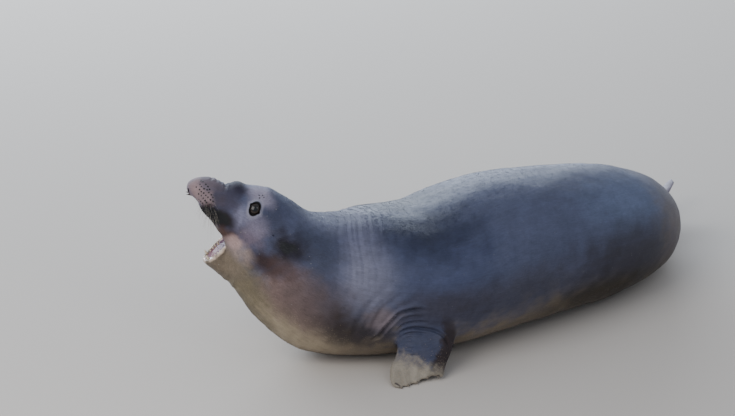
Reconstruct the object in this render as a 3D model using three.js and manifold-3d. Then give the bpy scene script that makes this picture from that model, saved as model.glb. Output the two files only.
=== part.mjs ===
// A young male northern elephant seal, life size, lying on its belly with its head raised and its mouth
// open. Millimetres, +Z up. The head points to -X and the animal's left side faces -Y. The body curls
// towards +Y at both ends. The origin is the middle of the model's box, on the floor.
//
// The body is one long sweep from the snout to the tail, parted into pieces by thin flat gaps. The nose,
// jaw, tongue, tail and flippers are sweeps of their own, cut to fit what they grow from.

import * as THREE from "three";
import { mergeVertices } from "three/addons/utils/BufferGeometryUtils.js";
import Module from "manifold-3d";

const wasm = await Module();
wasm.setup();

// Driving dimensions
const GAP = 0.3;
const GROWN = 0.5;
const UP = new THREE.Vector3(0, 0, 1);
const SNOUT = new THREE.Vector3(-636, 240, 563);
const HEAD_PITCH = THREE.MathUtils.degToRad(31);
const HEAD_YAW = THREE.MathUtils.degToRad(30);
const HEAD_ROLL = THREE.MathUtils.degToRad(16);
const SECTION_POWER = 2.08;
const FAR = 1600;
const TRUNK_SIDES = 36;

// Directions of the raised head: forward along the snout, up through the crown, and to the animal's left
const FORWARD = new THREE.Vector3(
  -Math.cos(HEAD_PITCH) * Math.cos(HEAD_YAW),
  Math.cos(HEAD_PITCH) * Math.sin(HEAD_YAW),
  Math.sin(HEAD_PITCH),
);
const LEVEL = new THREE.Vector3().crossVectors(UP, FORWARD).normalize();
const LEFT = LEVEL.clone().applyAxisAngle(FORWARD, HEAD_ROLL);
const CROWN = new THREE.Vector3().crossVectors(FORWARD, LEFT).normalize();

// A point of the head: millimetres behind the snout's tip, above the head's line, and to the left.
function headPoint(behind, above, left = 0) {
  return SNOUT.clone()
    .addScaledVector(FORWARD, -behind)
    .addScaledVector(CROWN, above)
    .addScaledVector(LEFT, left);
}

// A direction of the head as a unit vector.
function headDirection(forward, up, left = 0) {
  return new THREE.Vector3()
    .addScaledVector(FORWARD, forward)
    .addScaledVector(CROWN, up)
    .addScaledVector(LEFT, left)
    .normalize();
}

const station = (at, wide, rise, drop, roll = 0) => ({ at, wide, rise, drop, roll });
const headStation = (behind, above, wide, rise, drop, roll = 1) =>
  station(headPoint(behind, above), wide, rise, drop, roll * HEAD_ROLL);
const bodyStation = (x, y, z, wide, rise, drop, roll = 0) =>
  station(new THREE.Vector3(x, y, z), wide, rise, drop, roll * HEAD_ROLL);

// Stations from the upper lip to the root of the tail: centre, half width, rise and drop from the centre
const SPINE = [
  headStation(14, 5, 27, 12, 13),
  headStation(34, 9, 46, 36, 20),
  headStation(60, 10, 64, 56, 31),
  headStation(92, 8, 77, 69, 49),
  headStation(128, 5, 90, 99, 64),
  headStation(160, 2, 101, 114, 82),
  headStation(190, 0, 108, 129, 107),
  headStation(212, -2, 115, 140, 124),
  headStation(244, -4, 127, 143, 160),
  headStation(300, -8, 145, 146, 196),
  bodyStation(-339, 73, 353, 180, 137, 252, 0.6),
  bodyStation(-243, 44, 308, 218, 157, 292, 0.2),
  bodyStation(-145, 23, 276, 246, 184, 283),
  bodyStation(-20, 10, 258, 276, 190, 268),
  bodyStation(70, 3, 250, 290, 184, 261),
  bodyStation(160, 2, 245, 292, 220, 256),
  bodyStation(345, 20, 238, 276, 244, 249),
  bodyStation(560, 42, 218, 256, 237, 229),
  bodyStation(745, 76, 190, 236, 225, 201),
  bodyStation(880, 130, 162, 202, 190, 167),
  bodyStation(966, 212, 130, 152, 140, 131),
  bodyStation(1010, 300, 94, 106, 92, 95),
  bodyStation(1030, 364, 72, 66, 60, 66),
];
const FACE_CUT = 167;
const FACE_AT = 5.25;
const NAPE = 9.3;
const MOUTH_CORNER = headPoint(180, -80);
const JAW_HINGE = headPoint(330, -135);

// Turns a three.js geometry into a solid, after moving each of its points.
function solidOf(geometry, move = (p) => p) {
  const bare = new THREE.BufferGeometry();
  const position = geometry.getAttribute("position").clone();
  const p = new THREE.Vector3();
  for (let i = 0; i < position.count; i++) {
    p.fromBufferAttribute(position, i);
    const q = move(p);
    position.setXYZ(i, q.x, q.y, q.z);
  }
  bare.setAttribute("position", position);
  if (geometry.index) bare.setIndex(geometry.index.clone());
  const merged = mergeVertices(bare, 1e-3);
  const triVerts = new Uint32Array(merged.index.array);
  const build = () =>
    new wasm.Manifold(
      new wasm.Mesh({ numProp: 3, vertProperties: merged.attributes.position.array, triVerts }),
    );
  const made = build();
  if (made.volume() > 0) return made;
  for (let i = 0; i < triVerts.length; i += 3) {
    [triVerts[i + 1], triVerts[i + 2]] = [triVerts[i + 2], triVerts[i + 1]];
  }
  return build();
}

const joined = (solids) => solids.reduce((sum, solid) => sum.add(solid));
const without = (solid, cutters) => cutters.reduce((rest, cutter) => rest.subtract(cutter), solid);

// The largest closed body of a solid, which drops loose scraps and fills sealed hollows.
function largest(solid) {
  const bodies = solid.decompose().sort((a, b) => b.volume() - a.volume());
  return bodies[0];
}

// A solid back as a three.js mesh with its own name and material.
function meshOf(name, solid, material) {
  const { vertProperties, triVerts, numProp } = largest(solid).getMesh();
  const count = vertProperties.length / numProp;
  const position = new Float32Array(count * 3);
  for (let i = 0; i < count; i++) {
    position.set(vertProperties.subarray(i * numProp, i * numProp + 3), i * 3);
  }
  const geometry = new THREE.BufferGeometry();
  geometry.setAttribute("position", new THREE.BufferAttribute(position, 3));
  geometry.setIndex(new THREE.BufferAttribute(new Uint32Array(triVerts), 1));
  geometry.computeVertexNormals();
  const mesh = new THREE.Mesh(geometry, material);
  mesh.name = name;
  return mesh;
}

// A long body: a smooth line through its stations, with a rounded section that flattens on the floor.
class Sweep {
  constructor(stations, up = UP, slanted = false) {
    this.last = stations.length - 1;
    this.up = up;
    this.slanted = slanted;
    this.line = new THREE.CatmullRomCurve3(stations.map((s) => s.at), false, "catmullrom");
    this.sizes = new THREE.CatmullRomCurve3(
      stations.map((s) => new THREE.Vector3(s.wide, s.rise, s.drop)),
      false,
      "catmullrom",
    );
    this.rolls = new THREE.CatmullRomCurve3(
      stations.map((s) => new THREE.Vector3(up === UP ? s.roll : 0, 0, 0)),
      false,
      "catmullrom",
    );
  }

  // Centre, direction, side and up at a place counted in stations.
  frame(s) {
    const t = THREE.MathUtils.clamp(s / this.last, 0, 1);
    const centre = this.line.getPoint(t);
    const along = this.line.getTangent(t);
    const up = this.up.clone();
    if (!this.slanted) up.addScaledVector(along, -up.dot(along)).normalize();
    up.applyAxisAngle(along, -this.rolls.getPoint(t).x);
    const side = new THREE.Vector3().crossVectors(along, up).normalize();
    return { centre, along, up, side, size: this.sizes.getPoint(t) };
  }

  // A point on the surface, or inside it for a reach below 1.
  point(s, angle, reach = 1, grow = 0) {
    const { centre, up, side, size } = this.frame(s);
    const rounded = (v) => Math.sign(v) * Math.abs(v) ** (2 / SECTION_POWER);
    const height = Math.sin(angle) > 0 ? size.y : size.z;
    centre.addScaledVector(side, rounded(Math.cos(angle)) * (size.x + grow) * reach);
    centre.addScaledVector(up, rounded(Math.sin(angle)) * (height + grow) * reach);
    centre.z = Math.max(centre.z, 0);
    return centre;
  }

  // The solid between two places, with flat ends, grown on all sides by some millimetres.
  solid(from, to, sides, rings, grow = 0) {
    return solidOf(new THREE.CylinderGeometry(1, 1, 1, sides, rings), (p) => {
      const s = THREE.MathUtils.lerp(from, to, p.y + 0.5);
      const surface = this.point(s, Math.atan2(p.z, p.x), Math.hypot(p.x, p.z), grow);
      const end = Math.abs(p.y) > 0.49 ? Math.sign(p.y) * grow : 0;
      return surface.addScaledVector(this.frame(s).along, end);
    });
  }

  // How far along, in stations, a distance in millimetres is at a place.
  step(s, distance) {
    const ahead = this.frame(s + 0.01).centre.distanceTo(this.frame(s - 0.01).centre);
    return (distance * 0.02) / ahead;
  }
}

// A flipper: a flat sweep with raised digits, a scalloped end and thin webs between them.
class Fin {
  constructor({ stations, across, digits, web, edge }) {
    this.last = stations.length - 1;
    this.line = new THREE.CatmullRomCurve3(stations.map((s) => s.at), false, "catmullrom");
    this.sizes = new THREE.CatmullRomCurve3(
      stations.map((s) => new THREE.Vector3(s.wide, s.rise, 0)),
      false,
      "catmullrom",
    );
    this.across = across;
    this.digits = digits;
    this.web = web;
    this.edge = edge;
    this.turn = 1;
    this.turn = Math.sign(this.frame(1).normal.z);
  }

  // 1 on a digit's line and 0 midway between two digits.
  digitAt(u) {
    const nearest = Math.min(...this.digits.map((d) => Math.abs(u - d.at) / d.half));
    return Math.cos((Math.min(nearest, 1) * Math.PI) / 2) ** 2;
  }

  // Length of the blade along a line at u, as a share of the longest.
  reach(u) {
    const lengths = this.digits.map((d) => [d.at, d.length]);
    let length = lengths[0][1];
    for (let i = 1; i < lengths.length; i++) {
      const share = THREE.MathUtils.clamp(
        (u - lengths[i - 1][0]) / (lengths[i][0] - lengths[i - 1][0]),
        0,
        1,
      );
      length = share > 0 ? THREE.MathUtils.lerp(lengths[i - 1][1], lengths[i][1], share) : length;
    }
    return length * (1 - this.web * (1 - this.digitAt(u)));
  }

  frame(t) {
    const centre = this.line.getPoint(t);
    const along = this.line.getTangent(t);
    const across = this.across.clone().addScaledVector(along, -this.across.dot(along)).normalize();
    const normal = new THREE.Vector3().crossVectors(across, along).multiplyScalar(this.turn);
    return { centre, along, across, normal };
  }

  // A point of the blade: u across from -1 to 1, v from root to tip, face 1 above and -1 below.
  point(u, v, face) {
    const t = v * this.reach(u);
    const { centre, across, normal } = this.frame(t);
    const size = this.sizes.getPoint(t);
    const rim = Math.sqrt(Math.max(0, 1 - Math.abs(u) ** 2.6)) * Math.sqrt(Math.max(0, 1 - v ** 8));
    const ridge = 1 - 0.36 * THREE.MathUtils.smoothstep(v, 0.45, 1) * (1 - this.digitAt(u));
    const thick = this.edge + Math.max(0, size.y - this.edge) * rim * ridge;
    centre.addScaledVector(across, u * size.x);
    centre.addScaledVector(normal, face * thick);
    centre.z = Math.max(centre.z, 0);
    return centre;
  }

  solid(columns, rows) {
    return solidOf(new THREE.BoxGeometry(2, 2, 2, columns, rows, 1), (p) =>
      this.point(p.x, (p.y + 1) / 2, p.z),
    );
  }

  // Place and direction of a claw near the end of a digit.
  clawSeat(digit, v) {
    const root = this.point(digit.at, v, 0.5);
    const tip = this.point(digit.at, Math.min(v + 0.06, 1), 0.5);
    return { root, direction: tip.sub(root).normalize() };
  }
}

// A turn that takes x to a direction and z as near as can be to another.
function turnTo(along, up) {
  const side = new THREE.Vector3().crossVectors(up, along).normalize();
  const top = new THREE.Vector3().crossVectors(along, side).normalize();
  return new THREE.Matrix4().makeBasis(along, side, top);
}

// An ellipsoid with its first radius along a direction and its last one upwards.
function ellipsoid(centre, radii, along, up, columns = 12, rows = 8) {
  const turn = turnTo(along, up);
  return solidOf(new THREE.SphereGeometry(1, columns, rows), (p) =>
    p.clone().multiply(radii).applyMatrix4(turn).add(centre),
  );
}

// A tapered cone from its root towards its tip, such as a tooth or a claw, flat where it meets the floor.
function spike(root, direction, radius, length, sides = 5) {
  const turn = new THREE.Quaternion().setFromUnitVectors(new THREE.Vector3(0, 1, 0), direction);
  const cone = new THREE.CylinderGeometry(0.12, 1, 1, sides, 2);
  return solidOf(cone, (p) => {
    const share = p.y + 0.5;
    const fat = radius * (1 - 0.35 * share * share);
    const q = new THREE.Vector3(p.x * fat, share * length, p.z * fat).applyQuaternion(turn).add(root);
    q.z = Math.max(q.z, 0);
    return q;
  });
}

// A round rim along a line of points, such as a lip.
function rim(points, radius, steps, sides = 6) {
  const line = new THREE.CatmullRomCurve3(points);
  const ring = new THREE.Shape();
  ring.absellipse(0, 0, radius, radius, 0, Math.PI * 2);
  return solidOf(
    new THREE.ExtrudeGeometry(ring, { extrudePath: line, steps, curveSegments: sides, bevelEnabled: false }),
  );
}

// All space on one side of a plane, as a large box.
function beyond(point, normal) {
  const turn = new THREE.Quaternion().setFromUnitVectors(UP, normal);
  return solidOf(new THREE.BoxGeometry(FAR, FAR, FAR), (p) =>
    p.clone().add(new THREE.Vector3(0, 0, FAR / 2)).applyQuaternion(turn).add(point),
  );
}

const spine = new Sweep(SPINE);

// Head

const EYE = { behind: 208, above: 64, left: 75, radius: 28 };
const NOSTRIL = { behind: 1, above: 2, left: 16 };
const EAR = { behind: 292, above: 28, left: 139 };

const proboscis = new Sweep(
  [
    headStation(112, 30, 50, 42, 30),
    headStation(96, 33, 54, 44, 34),
    headStation(74, 33, 56, 47, 36),
    headStation(52, 30, 55, 45, 37),
    headStation(30, 23, 50, 38, 34),
    headStation(14, 15, 41, 30, 28),
    headStation(4, 8, 29, 21, 20),
    headStation(-1, 4, 15, 11, 11),
  ],
  CROWN,
);

function proboscisSolid() {
  const nostrils = [-1, 1].map((side) =>
    ellipsoid(
      headPoint(NOSTRIL.behind, NOSTRIL.above, side * NOSTRIL.left),
      new THREE.Vector3(17, 4.5, 10),
      headDirection(1, -0.1, side * 0.35),
      headDirection(0, 1, side * 0.35),
      10,
      8,
    ),
  );
  return without(proboscis.solid(0, 7, 22, 12), nostrils);
}

// The hump behind the nose, where the young bull's nose folds.
const noseFold = ellipsoid(
  headPoint(140, 72),
  new THREE.Vector3(34, 64, 38),
  FORWARD,
  CROWN,
  16,
  10,
);

// Whisker pad on one side of the upper lip.
const whiskerPad = (side) =>
  ellipsoid(
    headPoint(86, 4, side * 53),
    new THREE.Vector3(60, 27, 38),
    headDirection(0.92, 0.38, side * -0.28),
    CROWN,
    13,
    9,
  );

function upperTeeth() {
  const canines = [-1, 1].map((side) =>
    spike(headPoint(84, -12, side * 28), headDirection(0.2, -1, side * 0.08), 7, 30),
  );
  const incisors = [-1, 1].map((side) =>
    spike(headPoint(66, -4, side * 10), headDirection(0.25, -1), 4, 20),
  );
  const cheek = [0, 1, 2].flatMap((i) =>
    [-1, 1].map((side) =>
      spike(headPoint(108 + i * 20, -24 - i * 8, side * (38 + i * 4)), headDirection(0.1, -1), 5, 24),
    ),
  );
  return [...canines, ...incisors, ...cheek];
}

// The hollow under the palate
const palate = new Sweep(
  [
    headStation(232, -100, 66, 28, 70),
    headStation(190, -86, 62, 26, 70),
    headStation(140, -64, 54, 20, 70),
    headStation(96, -42, 42, 14, 70),
    headStation(58, -24, 24, 8, 70),
  ],
  CROWN,
).solid(0, 4, 16, 8);

function muzzleSolid() {
  const outer = joined([spine.solid(0, FACE_AT + 0.3, 32, 15), whiskerPad(-1), whiskerPad(1), noseFold]);
  const trimmed = without(outer, [
    palate,
    beyond(headPoint(FACE_CUT - GAP / 2, 0), FORWARD.clone().negate()),
  ]);
  return joined([trimmed, ...upperTeeth()]).subtract(proboscis.solid(0, 7, 22, 12, GROWN));
}

const eyeCentre = (side) => headPoint(EYE.behind, EYE.above, side * EYE.left);
const eyeLook = (side) => headDirection(0.2, 0.2, side);

// Upper and lower lids as one raised rim round the eye.
function lids(side) {
  const turn = turnTo(eyeLook(side), CROWN);
  const centre = eyeCentre(side).addScaledVector(eyeLook(side), 14);
  return solidOf(new THREE.TorusGeometry(25, 7, 6, 20), (p) =>
    new THREE.Vector3(p.z * 1.1, p.x * 0.86, p.y).applyMatrix4(turn).add(centre),
  );
}

const jawPlaneNormal = new THREE.Vector3()
  .subVectors(JAW_HINGE, MOUTH_CORNER)
  .cross(LEFT)
  .normalize();
if (jawPlaneNormal.dot(CROWN) < 0) jawPlaneNormal.negate();

// Everything above or below the plane that parts the head from the jaw, half a gap away from it.
const aboveJaw = beyond(
  MOUTH_CORNER.clone().addScaledVector(jawPlaneNormal, -GAP / 2),
  jawPlaneNormal,
);
const belowJaw = beyond(
  MOUTH_CORNER.clone().addScaledVector(jawPlaneNormal, GAP / 2),
  jawPlaneNormal.clone().negate(),
);

const gullet = ellipsoid(
  headPoint(192, -92),
  new THREE.Vector3(52, 68, 27),
  headDirection(0.92, 0.38),
  CROWN,
  14,
  9,
);
const throat = without(
  spine.solid(FACE_AT - 0.3, NAPE - spine.step(NAPE, GAP / 2), TRUNK_SIDES, 12),
  [beyond(headPoint(FACE_CUT + GAP / 2, 0), FORWARD)],
);

function headSolid() {
  const ball = new THREE.Vector3(1, 1, 1).multiplyScalar(EYE.radius + GROWN);
  const sockets = [-1, 1].map((side) => ellipsoid(eyeCentre(side), ball, eyeLook(side), CROWN, 16, 10));
  const ears = [-1, 1].map((side) =>
    ellipsoid(headPoint(EAR.behind, EAR.above, side * EAR.left), new THREE.Vector3(14, 6, 5), LEFT, CROWN, 8, 6),
  );
  const shell = without(joined([throat, noseFoldBack()]), [belowJaw, gullet, palate]);
  return without(joined([largest(shell), lids(-1), lids(1)]), [...sockets, ...ears]);
}

// The part of the hump behind the cut between muzzle and head.
function noseFoldBack() {
  return without(noseFold, [beyond(headPoint(FACE_CUT + GAP / 2, 0), FORWARD)]);
}

// Lower jaw

const MOUTH_OUT = headDirection(0.936, 0.351);
// Its sections slant from the line of the lips back to the throat.
const jaw = new Sweep(
  [
    headStation(194, -66, 70, 8, 150),
    headStation(189, -88, 73, 8, 132),
    headStation(187, -107, 79, 8, 108),
    headStation(183, -121, 80, 8, 86),
    headStation(179, -135, 77, 8, 63),
    headStation(173, -151, 64, 7, 36),
    headStation(168, -163, 40, 6, 18),
    headStation(165, -169, 13, 4, 8),
  ],
  headDirection(0.646, 0.763),
  true,
);

// A point near the jaw's edge, on one side.
const jawEdge = (s, side, angle) => jaw.point(s, side > 0 ? angle : Math.PI - angle);

function lowerTeeth() {
  const seat = (s, side, inward) =>
    jawEdge(s, side, 0.3)
      .addScaledVector(LEFT, side * inward)
      .addScaledVector(MOUTH_OUT, -12);
  const canines = [-1, 1].map((side) => spike(seat(5.2, side, 12), MOUTH_OUT, 6, 30));
  const incisors = [-1, 1].map((side) => spike(seat(6, side, 14), MOUTH_OUT, 3, 20));
  const cheek = [4.4, 3.7, 3, 2.2].flatMap((s) =>
    [-1, 1].map((side) => spike(seat(s, side, 11), MOUTH_OUT, 4, 20)),
  );
  return [...canines, ...incisors, ...cheek];
}

function lowerLip() {
  const places = [1.1, 2, 3, 4, 5, 6];
  const left = places.map((s) => jawEdge(s, 1, 0.25));
  const right = places.map((s) => jawEdge(s, -1, 0.25)).reverse();
  return rim([...left, jaw.point(6.8, Math.PI / 2), ...right], 7, 26);
}

const tongueLine = new Sweep(
  [
    headStation(220, -82, 42, 18, 16),
    headStation(203, -101, 45, 19, 16),
    headStation(194, -119, 44, 17, 15),
    headStation(187, -135, 36, 14, 12),
    headStation(182, -146, 18, 8, 8),
  ],
  MOUTH_OUT,
);
const tongue = without(tongueLine.solid(0, 4, 14, 7), [aboveJaw]);

// The hollow of the mouth's floor, round the tongue
const mouthFloor = new Sweep(
  [
    headStation(210, -62, 56, 40, 26),
    headStation(197, -85, 58, 40, 24),
    headStation(191, -105, 64, 40, 22),
    headStation(186, -121, 65, 40, 19),
    headStation(180, -137, 58, 40, 16),
    headStation(175, -150, 41, 40, 12),
    headStation(171, -159, 17, 40, 8),
  ],
  MOUTH_OUT,
).solid(0, 6, 16, 9);

function jawSolid() {
  const rough = joined([throat, jaw.solid(0, 7, 28, 11), lowerLip()]);
  const cut = without(rough, [
    aboveJaw,
    gullet,
    mouthFloor,
    tongueLine.solid(0, 4, 14, 7, GROWN),
    beyond(headPoint(186, 0), FORWARD).intersect(beyond(headPoint(0, -90), CROWN)),
  ]);
  return joined([largest(cut), ...lowerTeeth()]);
}

// Flippers

const FIVE = [-0.84, -0.44, -0.04, 0.38, 0.8];
const digitsOf = (lengths, half) => FIVE.map((at, i) => ({ at, half, length: lengths[i] }));

const finStation = (x, y, z, wide, thick) => station(new THREE.Vector3(x, y, z), wide, thick, 0);

// The left fore flipper's stations; the right one is its mirror.
const FORE = [
  [20, -120, 200, 104, 64],
  [-14, -205, 148, 100, 46],
  [-40, -246, 100, 94, 40],
  [-62, -263, 58, 85, 30],
  [-85, -281, 27, 86, 20],
  [-96, -308, 10, 86, 13],
  [-102, -330, 5, 66, 8],
];

const foreFin = (side) =>
  new Fin({
    stations: FORE.map(([x, y, z, wide, thick]) => finStation(x, y * side, z, wide, thick)),
    across: new THREE.Vector3(0.95, -0.3 * side, 0),
    digits: digitsOf([1, 0.95, 0.88, 0.79, 0.69], 0.21),
    web: 0.05,
    edge: 3,
  });
const foreLeft = foreFin(1);
const foreRight = foreFin(-1);

const hindLeft = new Fin({
  stations: [
    finStation(970, 236, 96, 60, 52),
    finStation(1022, 308, 68, 56, 36),
    finStation(1074, 374, 54, 66, 24),
    finStation(1122, 434, 50, 90, 18),
    finStation(1167, 492, 55, 108, 13),
    finStation(1206, 542, 62, 114, 8),
  ],
  across: new THREE.Vector3(0.56, -0.72, 0.4),
  digits: digitsOf([1, 0.84, 0.76, 0.84, 1], 0.21),
  web: 0.09,
  edge: 3,
});

const hindRight = new Fin({
  stations: [
    finStation(966, 266, 92, 56, 50),
    finStation(970, 350, 64, 54, 36),
    finStation(968, 428, 42, 64, 24),
    finStation(966, 512, 28, 90, 18),
    finStation(970, 596, 20, 108, 13),
    finStation(976, 668, 17, 114, 8),
  ],
  across: new THREE.Vector3(0.97, -0.18, 0.14),
  digits: digitsOf([1, 0.84, 0.76, 0.84, 1], 0.21),
  web: 0.09,
  edge: 3,
});

function foreFlipperSolid(fin) {
  const claws = fin.digits.map((digit) => {
    const { root, direction } = fin.clawSeat(digit, 0.9);
    return spike(root, direction, 6.5, 36 * digit.length);
  });
  return joined([fin.solid(18, 12), ...claws]);
}

// Body

const DRAW_IN = 0.5;
const TRUNK_CUTS = [
  ["neck", NAPE, 11, 6],
  ["throat_base", 11, 12.4, 5],
  ["chest", 12.4, 14.9, 7],
  ["belly", 14.9, 16.5, 5],
  ["loin", 16.5, 18.2, 5],
  ["pelvis", 18.2, 21.4, 9],
];

function trunkPiece(from, to, rings, grow = 0) {
  const inset = grow > 0 ? 0 : DRAW_IN / 2;
  return spine.solid(
    from + spine.step(from, inset),
    to - spine.step(to, inset),
    TRUNK_SIDES,
    rings,
    grow,
  );
}

const tailLine = new Sweep([
  station(new THREE.Vector3(1020, 326, 82), 62, 50, 50),
  station(new THREE.Vector3(1034, 370, 66), 44, 34, 40),
  station(new THREE.Vector3(1048, 416, 46), 32, 22, 30),
  station(new THREE.Vector3(1060, 456, 32), 20, 14, 20),
  station(new THREE.Vector3(1070, 488, 24), 8, 6, 8),
]);

// Materials: blue-grey wet coat, brown throat, pale mouth, dark eyes
const coat = (color, roughness) => new THREE.MeshStandardMaterial({ color, roughness, metalness: 0 });
const BACK_COAT = coat(0x5b6275, 0.55);
const FACE_COAT = coat(0x6a6572, 0.6);
const THROAT_COAT = coat(0x6e6455, 0.7);
const FLIPPER_COAT = coat(0x6b6668, 0.6);
const MOUTH = coat(0xb08c8c, 0.35);
const EYEBALL = coat(0x0c0b0d, 0.08);

const spans = TRUNK_CUTS.map(([name, from, to, rings]) => ({
  name,
  solid: trunkPiece(from, to, rings),
  grown: trunkPiece(from, to, rings, GROWN),
}));
const trunkGrown = (names) => spans.filter((s) => names.includes(s.name)).map((s) => s.grown);

const tail = without(tailLine.solid(0, 4, 16, 8), trunkGrown(["pelvis"]));
const tailGrown = tailLine.solid(0, 4, 16, 8, GROWN);
const foreRoots = trunkGrown(["throat_base", "chest", "belly"]);
const TAIL_LEFT = new THREE.Vector3(0.954, -0.3, 0);
const hindSolid = (fin, side) =>
  without(fin.solid(20, 12), [
    ...trunkGrown(["pelvis", "loin"]),
    tailGrown,
    beyond(
      new THREE.Vector3(1012, 300, 0).addScaledVector(TAIL_LEFT, (side * GAP) / 2),
      TAIL_LEFT.clone().multiplyScalar(-side),
    ),
  ]);

const seal = new THREE.Group();
seal.add(
  meshOf("proboscis", proboscisSolid(), FACE_COAT),
  meshOf("muzzle", muzzleSolid(), FACE_COAT),
  meshOf("head", headSolid(), FACE_COAT),
  meshOf("lower_jaw", jawSolid(), THROAT_COAT),
  meshOf("tongue", tongue, MOUTH),
  meshOf("tail", tail, BACK_COAT),
  meshOf("fore_flipper_left", without(foreFlipperSolid(foreLeft), foreRoots), FLIPPER_COAT),
  meshOf("fore_flipper_right", without(foreFlipperSolid(foreRight), foreRoots), FLIPPER_COAT),
  meshOf("hind_flipper_left", hindSolid(hindLeft, 1), FLIPPER_COAT),
  meshOf("hind_flipper_right", hindSolid(hindRight, -1), FLIPPER_COAT),
);
for (const [side, word] of [
  [1, "left"],
  [-1, "right"],
]) {
  const ball = ellipsoid(
    eyeCentre(side),
    new THREE.Vector3(1, 1, 1).multiplyScalar(EYE.radius),
    eyeLook(side),
    CROWN,
    16,
    10,
  );
  seal.add(meshOf(`eye_${word}`, ball, EYEBALL));
}
for (const { name, solid } of spans) {
  seal.add(meshOf(name, solid, name === "neck" || name === "throat_base" ? THROAT_COAT : BACK_COAT));
}

// Moves the whole model so that the origin is under the middle of its box.
seal.updateMatrixWorld(true);
const box = new THREE.Box3().setFromObject(seal, true);
const middle = box.getCenter(new THREE.Vector3());
seal.position.set(-middle.x, -middle.y, -box.min.z);

export default seal;
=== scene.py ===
"""A life-size still figure of a young elephant seal bull, as a museum shows one.

The body is one closed skin, made from the same named sizes as the solids, in millimetres, and brought to
the shared frame in metres. Eyes, teeth, tongue, claws, whiskers and the short coat are pieces of their own.
"""

import logging
import math
from dataclasses import dataclass, field
from enum import Enum
from typing import Sequence

import bpy
import numpy as np
from mathutils import Matrix, Vector
from mathutils.bvhtree import BVHTree


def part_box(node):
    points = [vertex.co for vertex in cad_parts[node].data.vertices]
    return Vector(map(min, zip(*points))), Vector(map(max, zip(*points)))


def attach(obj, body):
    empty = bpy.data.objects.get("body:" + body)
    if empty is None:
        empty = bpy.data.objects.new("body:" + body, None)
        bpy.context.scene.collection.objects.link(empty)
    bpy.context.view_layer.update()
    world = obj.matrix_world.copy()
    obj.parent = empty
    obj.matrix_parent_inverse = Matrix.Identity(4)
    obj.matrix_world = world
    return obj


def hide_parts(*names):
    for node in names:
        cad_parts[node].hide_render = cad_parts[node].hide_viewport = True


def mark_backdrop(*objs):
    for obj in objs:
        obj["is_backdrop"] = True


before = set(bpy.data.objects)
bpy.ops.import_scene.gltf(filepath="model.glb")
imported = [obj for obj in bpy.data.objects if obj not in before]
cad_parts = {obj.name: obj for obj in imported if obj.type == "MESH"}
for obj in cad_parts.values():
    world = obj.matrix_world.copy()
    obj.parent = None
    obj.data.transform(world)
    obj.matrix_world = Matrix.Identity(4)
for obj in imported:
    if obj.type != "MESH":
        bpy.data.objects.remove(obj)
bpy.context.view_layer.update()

Array = np.ndarray
Mesh = bpy.types.Mesh
Piece = bpy.types.Object
Node = bpy.types.Node
Socket = bpy.types.NodeSocket
Tree = bpy.types.NodeTree
Material = bpy.types.Material

LOG = logging.getLogger("seal")
MM = 0.001
COAT_DEPTH = 1.5
SECTION_POWER = 2.08
FLOOR_GAP = 0.6
SIDES = (1, -1)
WORLD_UP = np.array([0.0, 0.0, 1.0])
EYE_PLACE = (208.0, 64.0, 75.0)


def unit(vector: Sequence[float]) -> Array:
    """Returns a vector, or each row of an array, with length one."""
    array = np.asarray(vector, float)
    return array / np.maximum(np.linalg.norm(array, axis=-1, keepdims=True), 1e-12)


def dot(first: Array, second: Array) -> Array:
    """Returns the inner product of rows."""
    return np.sum(first * second, axis=-1)


def ramp(value: Array, start: float, end: float) -> Array:
    """Returns a smooth step from 0 at start to 1 at end."""
    share = np.clip((np.asarray(value, float) - start) / (end - start), 0.0, 1.0)
    return share * share * (3.0 - 2.0 * share)


def hump(value: Array, middle: float, width: float) -> Array:
    """Returns a bell curve that is 1 at its middle."""
    return np.exp(-(((value - middle) / width) ** 2))


def turned(vector: Array, axis: Array, angle: Array) -> Array:
    """Turns vectors about unit axes.

    Args:
        vector: Rows of vectors.
        axis: Rows of unit axes.
        angle: One angle in radians for each row.

    Returns:
        The turned rows.
    """
    c, s = np.cos(angle)[..., None], np.sin(angle)[..., None]
    along = dot(axis, vector)[..., None]
    return vector * c + np.cross(axis, vector) * s + axis * along * (1.0 - c)


@dataclass(frozen=True)
class Head:
    """Directions and origin of the raised head, in millimetres and degrees."""

    snout: tuple[float, float, float] = (-636.0, 240.0, 563.0)
    pitch: float = 31.0
    yaw: float = 30.0
    roll: float = 16.0

    @property
    def forward(self) -> Array:
        """Returns the direction along the snout."""
        p, y = math.radians(self.pitch), math.radians(self.yaw)
        return np.array([-math.cos(p) * math.cos(y), math.cos(p) * math.sin(y), math.sin(p)])

    @property
    def left(self) -> Array:
        """Returns the direction to the animal's left."""
        level = unit(np.cross(WORLD_UP, self.forward))
        return turned(level, self.forward, np.array(math.radians(self.roll)))

    @property
    def crown(self) -> Array:
        """Returns the direction up through the crown."""
        return unit(np.cross(self.forward, self.left))

    def point(self, behind: float, above: float, left: float = 0.0) -> Array:
        """Returns a point given behind the snout's tip, above the head's line and to the left."""
        return np.array(self.snout) - behind * self.forward + above * self.crown + left * self.left

    def direction(self, forward: float, up: float, left: float = 0.0) -> Array:
        """Returns a unit direction given forward, up and left."""
        return unit(forward * self.forward + up * self.crown + left * self.left)

    def coordinates(self, points: Array) -> tuple[Array, Array, Array]:
        """Returns how far points lie behind, above and to the left of the snout's tip."""
        rest = points - np.array(self.snout)
        return -(rest @ self.forward), rest @ self.crown, rest @ self.left


HEAD = Head()


def frame_shift() -> Array:
    """Returns the shift from the maker's millimetres to the shared frame, read from the left eye's place."""
    low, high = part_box("eye_left")
    return (np.array(low) + np.array(high)) / 2 / MM - HEAD.point(*EYE_PLACE)


SHIFT = frame_shift()


def to_model(points: Array) -> Array:
    """Returns points of the shared frame in metres for points in the maker's millimetres."""
    return (np.asarray(points, float) + SHIFT) * MM


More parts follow.
